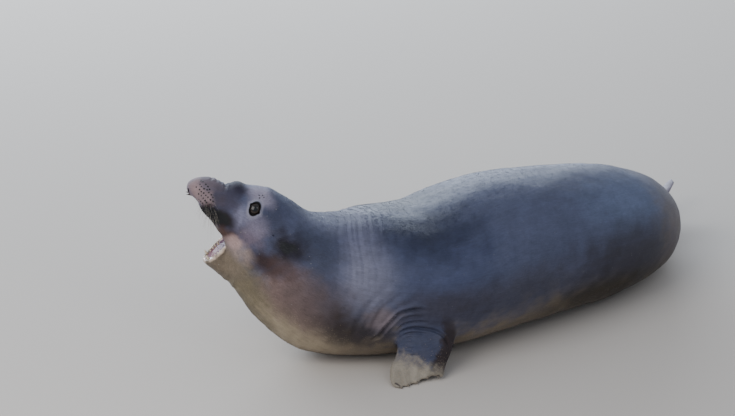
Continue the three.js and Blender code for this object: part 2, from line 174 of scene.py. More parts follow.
def to_maker(points: Array) -> Array:
    """Returns the maker's millimetres for points of the shared frame in metres."""
    return np.asarray(points, float) / MM - SHIFT


def new_object(name: str, data: bpy.types.ID) -> Piece:
    """Makes an object and puts it in the scene.

    Args:
        name: Its name.
        data: Its mesh, lamp or camera.

    Returns:
        The object.
    """
    obj = bpy.data.objects.new(name, data)
    bpy.context.scene.collection.objects.link(obj)
    return obj


def remove(obj: Piece) -> None:
    """Removes an object with its mesh."""
    bpy.data.meshes.remove(obj.data)


@dataclass
class Shell:
    """A mesh as arrays, in the maker's millimetres."""

    points: Array
    quads: Array
    tris: Array = field(default_factory=lambda: np.zeros((0, 3), int))

    def outward(self) -> "Shell":
        """Turns the faces outwards, where the signed volume says that they point inwards.

        Returns:
            The shell.
        """
        tris = np.concatenate([self.quads[:, [0, 1, 2]], self.quads[:, [0, 2, 3]], self.tris])
        a, b, c = (self.points[tris[:, i]] for i in range(3))
        inward = np.sum(a * np.cross(b, c)) < 0
        return Shell(self.points, self.quads[:, ::-1], self.tris[:, ::-1]) if inward else self

    def faces(self) -> list[list[int]]:
        """Returns all faces as lists of vertices."""
        return self.quads.tolist() + self.tris.tolist()

    def piece(self, name: str) -> Piece:
        """Makes an object of this shell.

        Args:
            name: Its name.

        Returns:
            The object, in the shared frame.
        """
        mesh = bpy.data.meshes.new(name)
        mesh.from_pydata(to_model(self.points).tolist(), [], self.faces())
        mesh.update()
        return new_object(name, mesh)


def merged(shells: Sequence[Shell]) -> Shell:
    """Puts several shells into one, with no union.

    Args:
        shells: The shells.

    Returns:
        All their points and faces.
    """
    starts = np.cumsum([0] + [len(s.points) for s in shells])
    return Shell(
        np.concatenate([s.points for s in shells]),
        np.concatenate([s.quads + start for s, start in zip(shells, starts)]),
        np.concatenate([s.tris + start for s, start in zip(shells, starts)]),
    )


def settled(obj: Piece) -> Piece:
    """Turns an object's modifiers into its plain mesh.

    Args:
        obj: The object.

    Returns:
        The same object.
    """
    mesh = bpy.data.meshes.new_from_object(obj.evaluated_get(bpy.context.evaluated_depsgraph_get()))
    obj.modifiers.clear()
    old, obj.data = obj.data, mesh
    mesh.name = obj.name
    bpy.data.meshes.remove(old)
    return obj


class Join(Enum):
    """How two solids are put together."""

    UNION = "UNION"
    CUT = "DIFFERENCE"


def combined(base: Piece, other: Shell | Piece, how: Join) -> None:
    """Joins or cuts one object with another solid, which is used up.

    Args:
        base: The object that changes.
        other: The other solid.
        how: What is done with it.
    """
    change = base.modifiers.new("join", "BOOLEAN")
    change.operation = how.value
    change.solver = "MANIFOLD"
    change.object = other.piece("other") if isinstance(other, Shell) else other
    other = change.object
    settled(base)
    remove(other)


class Line:
    """A smooth line through evenly counted points."""

    def __init__(self, points: Sequence[Sequence[float]]) -> None:
        """Keeps the points with one more at each end.

        Args:
            points: Rows of numbers.
        """
        p = np.asarray(points, float)
        self.last = len(p) - 1
        self.padded = np.concatenate([[2 * p[0] - p[1]], p, [2 * p[-1] - p[-2]]])

    def at(self, s: Array) -> tuple[Array, Array]:
        """Reads the line.

        Args:
            s: Places, counted in points.

        Returns:
            Values and slopes there.
        """
        s = np.clip(np.asarray(s, float), 0, self.last)
        i = np.minimum(s.astype(int), self.last - 1)
        w = (s - i)[..., None]
        a, b, c, d = (self.padded[i + k] for k in range(4))
        m0, m1 = 0.5 * (c - a), 0.5 * (d - b)
        c2, c3 = -3 * b + 3 * c - 2 * m0 - m1, 2 * b - 2 * c + m0 + m1
        return b + w * (m0 + w * (c2 + w * c3)), m0 + w * (2 * c2 + 3 * w * c3)

    def drawn(self, count: int) -> Array:
        """Returns evenly spaced points of the whole line."""
        return self.at(np.linspace(0, self.last, count))[0]


@dataclass(frozen=True)
class Station:
    """One section of a sweep: centre, half width, rise and drop from the centre, and roll in degrees."""

    at: Array
    wide: float
    rise: float
    drop: float
    roll: float = 0.0


def head_stations(*rows: Sequence[float]) -> list[Station]:
    """Returns stations from rows of behind, above, half width, rise and drop, in the head's directions."""
    return [Station(HEAD.point(t, b), *sizes, HEAD.roll) for t, b, *sizes in rows]


def body_stations(*rows: Sequence[float]) -> list[Station]:
    """Returns stations from rows of x, y, z, half width, rise, drop and share of the head's roll."""
    return [Station(np.array(row[:3], float), *row[3:6], sum(row[6:]) * HEAD.roll) for row in rows]


def ring_quads(rings: int, sides: int) -> Array:
    """Joins rings of vertices that are numbered ring by ring.

    Args:
        rings: Rows of faces.
        sides: Faces round each ring.

    Returns:
        The quads.
    """
    i, j = np.meshgrid(np.arange(rings), np.arange(sides), indexing="ij")
    k = (j + 1) % sides
    return np.stack([i * sides + j, i * sides + k, (i + 1) * sides + k, (i + 1) * sides + j], -1).reshape(-1, 4)


def capped(skin: Array, ends: Array) -> Shell:
    """Closes rings of points with a fan at each end.

    Args:
        skin: Points by ring and side.
        ends: The middle point of each fan.

    Returns:
        The closed shell.
    """
    rings, sides = len(skin) - 1, skin.shape[1]
    a = np.arange(sides)
    b = (a + 1) % sides
    count = (rings + 1) * sides
    first = np.stack([np.full(sides, count), b, a], -1)
    final = np.stack([np.full(sides, count + 1), rings * sides + a, rings * sides + b], -1)
    points = np.concatenate([skin.reshape(-1, 3), ends])
    return Shell(points, ring_quads(rings, sides), np.concatenate([first, final])).outward()


class Sweep:
    """A long body: a smooth line through its stations, with a rounded section that flattens on the floor."""

    CHUNK = 20000
    SAMPLES = 6
    REFINEMENTS = 4

    def __init__(self, stations: Sequence[Station], up: Array | None = None, slanted: bool = False) -> None:
        """Keeps the lines of the centre, the sizes and the roll.

        Args:
            stations: The sections in order.
            up: The sections' upward direction, where it is the same for all.
            slanted: Whether sections keep that direction instead of standing square to the line.
        """
        self.line = Line([s.at for s in stations])
        self.sizes = Line([(s.wide, s.rise, s.drop) for s in stations])
        self.rolls = Line([(0.0 if up is not None else math.radians(s.roll),) for s in stations])
        self.up = WORLD_UP if up is None else up
        self.slanted = slanted
        self.last = self.line.last

    def frames(self, s: Array) -> tuple[Array, ...]:
        """Reads the sections.

        Args:
            s: Places, counted in stations.

        Returns:
            Centre, direction, side, up and sizes.
        """
        centre, slope = self.line.at(s)
        along = unit(slope)
        up = np.broadcast_to(self.up, along.shape).copy()
        if not self.slanted:
            up = unit(up - dot(up, along)[..., None] * along)
        up = turned(up, along, -self.rolls.at(s)[0][..., 0])
        return centre, along, unit(np.cross(along, up)), up, self.sizes.at(s)[0]

    def points(self, s: Array, angle: Array, grow: float = 0.0) -> Array:
        """Finds points of the surface.

        Args:
            s: Places along the line.
            angle: Angles round it, of the same shape.
            grow: Millimetres added on all sides.

        Returns:
            The points.
        """
        centre, _, side, up, size = self.frames(s)
        power = 2.0 / SECTION_POWER
        c, d = np.cos(angle), np.sin(angle)
        height = np.where(d > 0, size[..., 1], size[..., 2]) + grow
        out = centre + side * (np.sign(c) * np.abs(c) ** power * (size[..., 0] + grow))[..., None]
        out = out + up * (np.sign(d) * np.abs(d) ** power * height)[..., None]
        out[..., 2] = np.maximum(out[..., 2], -grow)
        return out

    def shell(self, start: float, end: float, sides: int, rings: int, grow: float = 0.0) -> Shell:
        """Makes the closed shell between two places.

        Args:
            start: First place, counted in stations.
            end: Last place.
            sides: Faces round the section.
            rings: Faces along the line.
            grow: Millimetres added on all sides.

        Returns:
            A closed shell with flat ends.
        """
        rows, turns = np.linspace(start, end, rings + 1), np.arange(sides) * 2 * math.pi / sides
        skin = self.points(*np.meshgrid(rows, turns, indexing="ij"), grow)
        ends = self.frames(np.array([start, end]))
        skin[0] -= ends[1][0] * grow
        skin[-1] += ends[1][1] * grow
        return capped(skin, ends[0] + ends[1] * np.array([[-grow], [grow]]))

    def places(self, points: Array) -> tuple[Array, Array]:
        """Measures points against the line.

        Args:
            points: Any points.

        Returns:
            The nearest place along the line and the angle round it.
        """
        samples = np.linspace(0, self.last, self.last * self.SAMPLES + 1)
        centres = self.line.at(samples)[0]
        nearest = np.empty(len(points))
        for start in range(0, len(points), self.CHUNK):
            part = slice(start, start + self.CHUNK)
            gap = np.sum(centres**2, 1)[None] - 2 * points[part] @ centres.T
            nearest[part] = samples[np.argmin(gap, 1)]
        for _ in range(self.REFINEMENTS):
            centre, slope = self.line.at(nearest)
            step = dot(points - centre, slope) / np.maximum(dot(slope, slope), 1e-9)
            nearest = np.clip(nearest + np.clip(step, -0.2, 0.2), 0, self.last)
        centre, _, side, up, size = self.frames(nearest)
        across = dot(points - centre, side) / size[:, 0]
        height = dot(points - centre, up)
        return nearest, np.arctan2(height / np.where(height > 0, size[:, 1], size[:, 2]), across)


def ellipsoid(
    centre: Array, radii: Sequence[float], along: Array, up: Array, columns: int = 48, rows: int = 32
) -> Shell:
    """Makes an ellipsoid.

    Args:
        centre: Its middle.
        radii: Its radii along, across and upwards.
        along: Direction of the first radius.
        up: Rough direction of the last one.
        columns: Faces round it.
        rows: Faces from pole to pole.

    Returns:
        The closed shell.
    """
    x = unit(along)
    y = unit(np.cross(up, x))
    turns = np.arange(columns) * 2 * math.pi / columns
    lat, lon = np.meshgrid(np.linspace(0, math.pi, rows + 1)[1:-1], turns, indexing="ij")
    ball = np.stack([np.sin(lat) * np.cos(lon), np.sin(lat) * np.sin(lon), np.cos(lat)], -1)
    points = np.concatenate([ball.reshape(-1, 3), [WORLD_UP, -WORLD_UP]]) * np.asarray(radii, float)
    points = points @ np.stack([x, y, np.cross(x, y)]) + centre
    a = np.arange(columns)
    b, base, count = (a + 1) % columns, (rows - 2) * columns, (rows - 1) * columns
    top = np.stack([np.full(columns, count), a, b], -1)
    low = np.stack([np.full(columns, count + 1), base + b, base + a], -1)
    return Shell(points, ring_quads(rows - 2, columns)[:, [0, 3, 2, 1]], np.concatenate([top, low])).outward()


def tube(points: Array, radii: Array, sides: int = 8) -> Shell:
    """Makes a round closed tube.

    Args:
        points: Its line.
        radii: A radius at each point.
        sides: Faces round it.

    Returns:
        The closed shell.
    """
    slope = unit(np.gradient(points, axis=0))
    lead = WORLD_UP if abs(slope[0] @ WORLD_UP) < 0.9 else np.array([1.0, 0.0, 0.0])
    across = []
    side = unit(np.cross(slope[0], lead))
    for direction in slope:
        side = unit(side - (side @ direction) * direction)
        across.append((side, np.cross(side, direction)))
    sides_at, ups_at = np.array(across).transpose(1, 0, 2)
    angle = (np.arange(sides) * 2 * math.pi / sides)[None, :, None]
    ring = np.cos(angle) * sides_at[:, None] + np.sin(angle) * ups_at[:, None]
    return capped(points[:, None] + ring * np.asarray(radii, float)[:, None, None], points[[0, -1]])


def slab(point: Array, normal: Array, size: float = 1600.0) -> Shell:
    """Makes all space on one side of a plane, as a large box.

    Args:
        point: A point of the plane.
        normal: Direction into the box.
        size: The box's size.

    Returns:
        The closed shell.
    """
    z = unit(normal)
    x = unit(np.cross(z, [0.3, 0.9, 0.1]))
    half = size / 2
    corners = np.array([(i, j, k) for i in (-half, half) for j in (-half, half) for k in (0.0, size)])
    quads = np.array([(0, 1, 3, 2), (4, 6, 7, 5), (0, 4, 5, 1), (2, 3, 7, 6), (0, 2, 6, 4), (1, 5, 7, 3)])
    return Shell(corners @ np.stack([x, np.cross(z, x), z]) + point, quads).outward()


@dataclass
class Flipper:
    """A flat sweep with raised digits, a scalloped end and thin webs between them."""

    stations: Sequence[Sequence[float]]
    across: Sequence[float]
    lengths: Sequence[float]
    web: float
    edge: float = 3.0
    places: Sequence[float] = (-0.84, -0.44, -0.04, 0.38, 0.8)
    digit_half: float = 0.21

    def __post_init__(self) -> None:
        """Makes the lines of centre and size, and finds which face is up."""
        rows = np.asarray(self.stations, float)
        self.line = Line(rows[:, :3])
        self.sizes = Line(rows[:, 3:5])
        self.last = self.line.last
        self.turn = 1.0
        self.turn = float(np.sign(self.frames(np.array([1.0 / self.last]))[3][0, 2]))

    def digit_share(self, u: Array) -> Array:
        """Returns 1 on a digit's line and 0 midway between two digits."""
        nearest = np.min([np.abs(u - place) / self.digit_half for place in self.places], axis=0)
        return np.cos(np.minimum(nearest, 1.0) * math.pi / 2) ** 2

    def reach(self, u: Array) -> Array:
        """Returns the blade's length along a line at u, as a share of the longest."""
        return np.interp(u, self.places, self.lengths) * (1 - self.web * (1 - self.digit_share(u)))

    def frames(self, t: Array) -> tuple[Array, ...]:
        """Reads the sections.

        Args:
            t: Shares of the length.

        Returns:
            Centre, direction, across and normal.
        """
        centre, slope = self.line.at(np.asarray(t) * self.last)
        along = unit(slope)
        across = np.broadcast_to(np.asarray(self.across, float), along.shape)
        across = unit(across - dot(across, along)[..., None] * along)
        return centre, along, across, np.cross(across, along) * self.turn

    def measured(self, points: Array) -> tuple[Array, Array]:
        """Returns each point's distance to the flipper's line, and the share of the length there."""
        return line_distance(points, self.line.drawn(40))

    def points(self, u: Array, v: Array, face: float) -> Array:
        """Finds points of the blade.

        Args:
            u: Place across, from -1 to 1.
            v: Share of the length, from root to tip.
            face: 1 on the upper face and -1 on the lower one.

        Returns:
            The points.
        """
        t = v * self.reach(u)
        centre, _, across, normal = self.frames(t)
        size = self.sizes.at(t * self.last)[0]
        rim = np.sqrt(np.maximum(0, 1 - np.abs(u) ** 2.6)) * np.sqrt(np.maximum(0, 1 - v**8))
        ridge = 1 - 0.45 * ramp(v, 0.4, 0.95) * (1 - self.digit_share(u))
        thick = self.edge * 0.8 + np.maximum(0, size[..., 1] - self.edge) * rim * ridge
        out = centre + across * (u * size[..., 0])[..., None] + normal * (face * thick)[..., None]
        out[..., 2] = np.maximum(out[..., 2], FLOOR_GAP)
        return out

    def shell(self, columns: int = 90, rows: int = 110) -> Shell:
        """Makes the blade.

        Args:
            columns: Faces across.
            rows: Faces along.

        Returns:
            The closed shell.
        """
        u, v = np.meshgrid(np.linspace(-1, 1, columns + 1), np.linspace(0, 1, rows + 1), indexing="ij")
        i, j = np.meshgrid(np.arange(columns), np.arange(rows), indexing="ij")
        wide, count = rows + 1, (columns + 1) * (rows + 1)
        quads = np.stack([i * wide + j, (i + 1) * wide + j, (i + 1) * wide + j + 1, i * wide + j + 1], -1)
        quads = quads.reshape(-1, 4)
        loop = [(a, 0) for a in range(columns)] + [(columns, b) for b in range(rows)]
        loop += [(a, rows) for a in range(columns, 0, -1)] + [(0, b) for b in range(rows, 0, -1)]
        edge = np.array([a * wide + b for a, b in loop])
        after = np.roll(edge, -1)
        wall = np.stack([edge, after, after + count, edge + count], -1)[:, ::-1]
        points = np.concatenate([self.points(u, v, face).reshape(-1, 3) for face in SIDES])
        return Shell(points, np.concatenate([quads, quads[:, ::-1] + count, wall])).outward()

    def claw_seat(self, place: float, v: float) -> tuple[Array, Array]:
        """Finds the seat of a claw.

        Args:
            place: The digit's place across.
            v: Share of the digit's length.

        Returns:
            Place and direction.
        """
        ends = self.points(np.array([place, place]), np.array([v, min(v + 0.06, 1.0)]), 0.5)
        return ends[0], unit(ends[1] - ends[0])


@dataclass
class BodyPlan:
    """The named sizes of the body and the lines that come from them."""

    nape: float = 9.3
    face_at: float = 5.25
    rump_end: float = 21.6
    gullet_at: tuple[float, float] = (192, -92)
    gullet_aim: tuple[float, float] = (0.92, 0.38)

    def __post_init__(self) -> None:
        """Makes the sweeps and flippers."""
        h, b = head_stations, body_stations
        self.spine = Sweep(
            h(
                (14, 5, 27, 12, 13), (34, 9, 46, 36, 20), (60, 10, 64, 56, 31), (92, 8, 77, 69, 49),
                (128, 5, 90, 99, 64), (160, 2, 101, 114, 82), (190, 0, 108, 129, 107),
                (212, -2, 115, 140, 124), (244, -4, 127, 143, 160), (300, -8, 145, 146, 196),
            )
            + b(
                (-339, 73, 353, 180, 137, 252, 0.6), (-243, 44, 308, 218, 157, 292, 0.2),
                (-145, 23, 276, 246, 184, 283), (-20, 10, 258, 276, 189, 268), (70, 3, 250, 290, 190, 261),
                (160, 2, 245, 292, 214, 256), (345, 20, 238, 276, 244, 249), (560, 42, 218, 256, 237, 229),
                (745, 76, 190, 236, 225, 201), (880, 130, 162, 202, 190, 167), (966, 212, 130, 152, 140, 131),
                (1010, 300, 94, 106, 92, 95), (1030, 364, 72, 66, 60, 66),
            )
        )
        self.proboscis = Sweep(
            h(
                (112, 30, 50, 42, 30), (96, 33, 54, 44, 34), (74, 33, 56, 47, 36), (52, 30, 55, 45, 37),
                (30, 23, 50, 38, 34), (14, 15, 41, 30, 28), (4, 8, 29, 21, 20), (-1, 4, 15, 11, 11),
            ),
            HEAD.crown,
        )
        self.palate = Sweep(
            h(
                (232, -100, 66, 28, 70), (190, -86, 62, 26, 70), (140, -64, 54, 20, 70), (96, -42, 42, 14, 70),
                (58, -24, 24, 8, 70),
            ),
            HEAD.crown,
        )
        self.mouth_out = HEAD.direction(0.936, 0.351)
        self.jaw = Sweep(
            h(
                (194, -66, 70, 8, 150), (189, -88, 73, 8, 132), (187, -107, 79, 8, 108), (183, -121, 80, 8, 86),
                (179, -135, 77, 8, 63), (173, -151, 64, 7, 36), (168, -163, 40, 6, 18), (165, -169, 13, 4, 8),
            ),
            HEAD.direction(0.646, 0.763),
            slanted=True,
        )
        self.tongue = Sweep(
            h(
                (220, -82, 42, 18, 16), (203, -101, 45, 19, 16), (194, -119, 44, 17, 15), (187, -135, 36, 14, 12),
                (182, -146, 18, 8, 8),
            ),
            self.mouth_out,
        )
        self.mouth_floor = Sweep(
            h(
                (210, -62, 56, 40, 26), (197, -85, 58, 40, 24), (191, -105, 64, 40, 22), (186, -121, 65, 40, 19),
                (180, -137, 58, 40, 16), (175, -150, 41, 40, 12), (171, -159, 17, 40, 8),
            ),
            self.mouth_out,
        )
        self.tail = Sweep(
            b(
                (1020, 326, 82, 62, 50, 50), (1034, 370, 66, 44, 34, 40), (1048, 416, 46, 32, 22, 30),
                (1060, 456, 32, 20, 14, 20), (1070, 488, 24, 8, 6, 8),
            )
        )
        fore = (
            (20, -120, 200, 104, 64), (-14, -205, 148, 100, 46), (-40, -246, 100, 94, 40), (-62, -263, 58, 85, 30),
            (-85, -281, 27, 86, 20), (-96, -308, 10, 86, 13), (-102, -330, 5, 66, 8),
        )
        lengths, ends = (1, 0.95, 0.88, 0.79, 0.69), (1, 0.84, 0.76, 0.84, 1)
        self.fore = {
            side: Flipper([(x, y * side, *rest) for x, y, *rest in fore], (0.95, -0.3 * side, 0), lengths, 0.05)
            for side in SIDES
        }
        hind_left = (
            (970, 236, 96, 60, 52), (1022, 308, 68, 56, 36), (1074, 374, 54, 66, 24), (1122, 434, 50, 90, 18),
            (1167, 492, 55, 108, 13), (1206, 542, 62, 114, 8),
        )
        hind_right = (
            (966, 266, 92, 56, 50), (970, 350, 64, 54, 36), (968, 428, 42, 64, 24), (966, 512, 28, 90, 18),
            (970, 596, 20, 108, 13), (976, 668, 17, 114, 8),
        )
        self.hind = (
            Flipper(hind_left, (0.56, -0.72, 0.4), ends, 0.09), Flipper(hind_right, (0.97, -0.18, 0.14), ends, 0.09),
        )
        self.flippers = (self.fore[1], self.fore[-1], *self.hind)

    def eye_centre(self, side: int) -> Array:
        """Returns the middle of an eyeball."""
        return HEAD.point(EYE_PLACE[0], EYE_PLACE[1], side * EYE_PLACE[2])

    def eye_look(self, side: int) -> Array:
        """Returns the direction an eye looks in."""
        return HEAD.direction(0.2, 0.2, side)

    def eye_gap(self, points: Array) -> Array:
        """Returns how far points are from the nearer eye."""
        return np.min([np.linalg.norm(points - self.eye_centre(s), axis=1) for s in SIDES], axis=0)

    def jaw_plane(self) -> tuple[Array, Array]:
        """Finds the plane between the head and the lower jaw.

        Returns:
            A point of it and its upward normal.
        """
        corner, hinge = HEAD.point(180, -80), HEAD.point(330, -135)
        normal = unit(np.cross(hinge - corner, HEAD.left))
        return corner, normal if normal @ HEAD.crown > 0 else -normal

    def lip_points(self) -> Array:
        """Finds the rim of the lower lip.

        Returns:
            Points from the left corner round to the right one.
        """
        places = np.array([1.1, 2, 3, 4, 5, 6])
        left = self.jaw.points(places, np.full(6, 0.25))
        right = self.jaw.points(places, np.full(6, math.pi - 0.25))[::-1]
        tip = self.jaw.points(np.array([6.8]), np.array([math.pi / 2]))
        return np.concatenate([left, tip, right])


PLAN = BodyPlan()


def read_array(items: bpy.types.bpy_prop_collection, name: str, width: int = 1, kind: type = np.float32) -> Array:
    """Reads one value of every element of a mesh.

    Args:
        items: The mesh's vertices, edges or faces, or an attribute's data.
        name: What is read.
        width: Numbers in each value.
        kind: Their type.

    Returns:
        One row for each element, or one number where width is 1.
    """
    flat = np.empty(len(items) * width, kind)
    items.foreach_get(name, flat)
    return flat.reshape(-1, width) if width > 1 else flat


def neighbour_table(mesh: Mesh, most: int = 8) -> tuple[Array, Array]:
    """Lists the neighbours of each vertex.

    Args:
        mesh: Any mesh.
        most: How many neighbours are kept.

    Returns:
        The neighbours of each vertex, filled up with its own number, and how many it has.
    """
    count = len(mesh.vertices)
    edges = read_array(mesh.edges, "vertices", 2, np.int32)
    both = np.concatenate([edges, edges[:, ::-1]])
    both = both[np.argsort(both[:, 0], kind="stable")]
    number = np.bincount(both[:, 0], minlength=count)
    start = np.concatenate([[0], np.cumsum(number)[:-1]])
    wide = int(min(number.max(), most))
    table = np.repeat(np.arange(count)[:, None], wide, 1)
    for k in range(wide):
        has = number > k
        table[has, k] = both[start[has] + k, 1]
    return table, np.minimum(number, wide)


def read_points(mesh: Mesh) -> Array:
    """Returns a mesh's vertices in the maker's millimetres."""
    return to_maker(read_array(mesh.vertices, "co", 3))


def write_points(mesh: Mesh, points: Array) -> None:
    """Writes vertices, given in the maker's millimetres, back to a mesh."""
    mesh.vertices.foreach_set("co", to_model(points).astype(np.float32).ravel())
    mesh.update()


def read_normals(mesh: Mesh) -> Array:
    """Returns the direction out of the mesh at each vertex."""
    return read_array(mesh.vertex_normals, "vector", 3).astype(float)


def read_shell(mesh: Mesh) -> Shell:
    """Reads a mesh of triangles and quads.

    Args:
        mesh: A mesh in the shared frame.

    Returns:
        The same mesh as a shell.
    """
    totals, starts = (read_array(mesh.polygons, name, kind=np.int32) for name in ("loop_total", "loop_start"))
    corners = read_array(mesh.loops, "vertex_index", kind=np.int32)
    return Shell(read_points(mesh), *(corners[starts[totals == n][:, None] + np.arange(n)] for n in (4, 3)))


class Store(Enum):
    """Kinds of values kept on a mesh: one number, a direction, a colour."""

    NUMBER = ("FLOAT", "value")
    VECTOR = ("FLOAT_VECTOR", "vector")
    COLOUR = ("FLOAT_COLOR", "color")


def keep(mesh: Mesh, name: str, values: Array, kind: Store = Store.NUMBER) -> None:
    """Stores values at the vertices of a mesh.

    Args:
        mesh: The mesh.
        name: The attribute's name.
        values: One row for each vertex.
        kind: What a row holds.
    """
    data_type, field_name = kind.value
    attribute = mesh.attributes.new(name, data_type, "POINT")
    attribute.data.foreach_set(field_name, np.asarray(values, np.float32).ravel())


def wave_noise(points: Array, wavelength: float, seed: int, waves: int = 24) -> Array:
    """Makes smooth noise as a sum of waves in random directions.

    Args:
        points: Places in millimetres.
        wavelength: Mean length of a wave in millimetres.
        seed: Seed of the random draw.
        waves: How many waves are added.

    Returns:
        One value of about unit size for each place.
    """
    rng = np.random.default_rng(seed)
    total = np.zeros(len(points))
    for _ in range(waves):
        direction = unit(rng.normal(size=3))
        length = wavelength * rng.uniform(0.6, 1.6)
        total += np.sin(points @ direction * (2 * math.pi / length) + rng.uniform(0, 2 * math.pi))
    return total / math.sqrt(waves / 2)


def line_distance(points: Array, line: Array) -> tuple[Array, Array]:
    """Measures points against a line.

    Args:
        points: Places to measure.
        line: Points of the line in order.

    Returns:
        Each place's distance to the line, and the share of its length where it is nearest.
    """
    best, share = np.full(len(points), np.inf), np.zeros(len(points))
    lengths = np.linalg.norm(np.diff(line, axis=0), axis=1)
    starts = np.concatenate([[0], np.cumsum(lengths)])
    for i, (a, b) in enumerate(zip(line[:-1], line[1:])):
        ab = b - a
        w = np.clip((points - a) @ ab / max(ab @ ab, 1e-9), 0, 1)
        gap = np.linalg.norm(points - a - w[:, None] * ab, axis=1)
        nearer = gap < best
        best[nearer] = gap[nearer]
        share[nearer] = (starts[i] + w[nearer] * lengths[i]) / starts[-1]
    return best, share


class BodyMap:
    """Measures on the skin: millimetres along the body's line and degrees round it from the top."""

    def __init__(self, spine: Sweep) -> None:
        """Measures the body's line from the nose on.

        Args:
            spine: The body's sweep.
        """
        self.spine = spine
        self.samples = np.linspace(0, spine.last, 1201)
        steps = np.linalg.norm(np.diff(spine.line.at(self.samples)[0], axis=0), axis=1)
        self.lengths = np.concatenate([[0], np.cumsum(steps)])

    def at(self, points: Array) -> tuple[Array, Array]:
        """Measures points on the skin.

        Args:
            points: Places in the maker's millimetres.

        Returns:
            Millimetres along the line, and degrees from the top, positive on the left side.
        """
        place, angle = self.spine.places(points)
        degrees = (270 - np.degrees(angle)) % 360 - 180
        return np.interp(place, self.samples, self.lengths), degrees

    def mirrored(self, points: Array) -> Array:
        """Moves points on the skin to the same place on the body's other side.

        Args:
            points: Places in the maker's millimetres.

        Returns:
            The mirrored places.
        """
        place, angle = self.spine.places(points)
        centre = self.spine.line.at(place)[0]
        here, there = self.spine.points(place, angle), self.spine.points(place, math.pi - angle)
        size = np.linalg.norm(here - centre, axis=1, keepdims=True)
        lift = np.linalg.norm(points - centre, axis=1, keepdims=True) / size
        return centre + (there - centre) * lift


MAP = BodyMap(PLAN.spine)


@dataclass(frozen=True)
class Fold:
    """A crease in the skin along a line: depth, half width and the share of the depth that swells beside it."""

    depth: float
    width: float
    swell: float
    points: Sequence[Sequence[float]]

    def path(self) -> Array:
        """Returns the fold's smooth line."""
        line = Line(self.points)
        return line.drawn(line.last * 5 + 1)

    def height(self, points: Array, path: Array) -> Array:
        """Finds how far points move out along their normals.

        Args:
            points: Places in the maker's millimetres.
            path: The fold's line on this side of the body.

        Returns:
            One height in millimetres for each place.
        """
        out = np.zeros(len(points))
        reach = self.width * 5
        near = np.all((points > path.min(0) - reach) & (points < path.max(0) + reach), axis=1)
        if near.any():
            gap, share = line_distance(points[near], path)
            fade = ramp(share, -0.02, 0.2) * (1 - ramp(share, 0.8, 1.02))
            w = gap / self.width
            out[near] = fade * self.depth * (self.swell * hump(w, 1.9, 1.0) - hump(w, 0.0, 1.0))
        return out


def head_fold(depth: float, width: float, *places: Sequence[float]) -> Fold:
    """Returns a fold from places behind the snout, above the head's line and to the left."""
    return Fold(depth, width, 0.5, [HEAD.point(*p) for p in places])


ARM_FOLDS = (
    Fold(8.5, 6.5, 0.7, (
        (-198, -177, 117), (-177, -196, 139), (-165, -211, 168), (-147, -224, 194), (-128, -235, 219),
        (-103, -244, 230), (-75, -253, 233), (-38, -265, 225),
    )),
    Fold(4.5, 4.5, 0.5, ((-125, -220, 153), (-115, -229, 172), (-95, -239, 184), (-61, -251, 187), (-32, -258, 180))),
    Fold(6.0, 4.8, 0.6, (
        (-121, -221, 138), (-105, -231, 158), (-81, -241, 165), (-48, -254, 161), (-15, -267, 152),
        (9, -281, 135), (19, -293, 108), (25, -296, 85),
    )),
    Fold(3.6, 4.0, 0.5, ((-122, -222, 125), (-98, -236, 146), (-69, -250, 149), (-40, -262, 143))),
    Fold(2.6, 3.6, 0.5, ((-124, -217, 110), (-104, -248, 121), (-84, -258, 124))),
    Fold(2.4, 3.4, 0.5, ((-125, -222, 97), (-102, -259, 106), (-80, -266, 108))),
    Fold(2.4, 3.4, 0.5, ((-129, -236, 89), (-97, -270, 85), (-72, -280, 86))),
    head_fold(2.4, 3.4, (812, -60, 136), (824, -46, 142), (838, -32, 146)),
    head_fold(2.8, 3.6, (818, -82, 136), (834, -66, 146), (852, -51, 153)),
    head_fold(2.4, 3.4, (827, -97, 140), (842, -85, 148), (860, -72, 155)),
)
CHEST_FOLDS = tuple(Fold(depth, width, 0.5, points) for depth, width, *points in (
    (2.8, 12.0, (-207, -195, 166), (-187, -215, 224), (-171, -223, 253), (-128, -235, 283), (-100, -241, 299)),
    (2.6, 12.0, (-254, -163, 134), (-236, -195, 214), (-208, -210, 267), (-167, -220, 304), (-129, -222, 328)),
    (1.5, 7.0, (-231, -180, 150), (-212, -204, 219), (-190, -216, 260), (-148, -228, 293), (-114, -232, 312)),
    (0.9, 6.0, (-146, 93, 443), (-208, -38, 448), (-237, -115, 417), (-253, -161, 371), (-270, -179, 313)),
    (1.2, 6.5, (-119, 76, 448), (-179, -56, 443), (-206, -130, 410), (-217, -174, 368), (-236, -195, 305)),
    (0.6, 4.5, (-132, 84, 446), (-194, -48, 446), (-222, -123, 414), (-236, -168, 370), (-252, -188, 309)),
    (1.0, 6.0, (-86, 71, 450), (-143, -62, 444), (-173, -142, 408), (-180, -190, 360), (-200, -208, 310)),
    (0.7, 5.5, (-60, 60, 452), (-112, -70, 440), (-140, -150, 402), (-150, -200, 350), (-168, -214, 306)),
    (0.8, 7.0, (-180, 82, 448), (-247, -51, 448), (-276, -116, 412), (-298, -152, 356), (-321, -155, 292)),
))
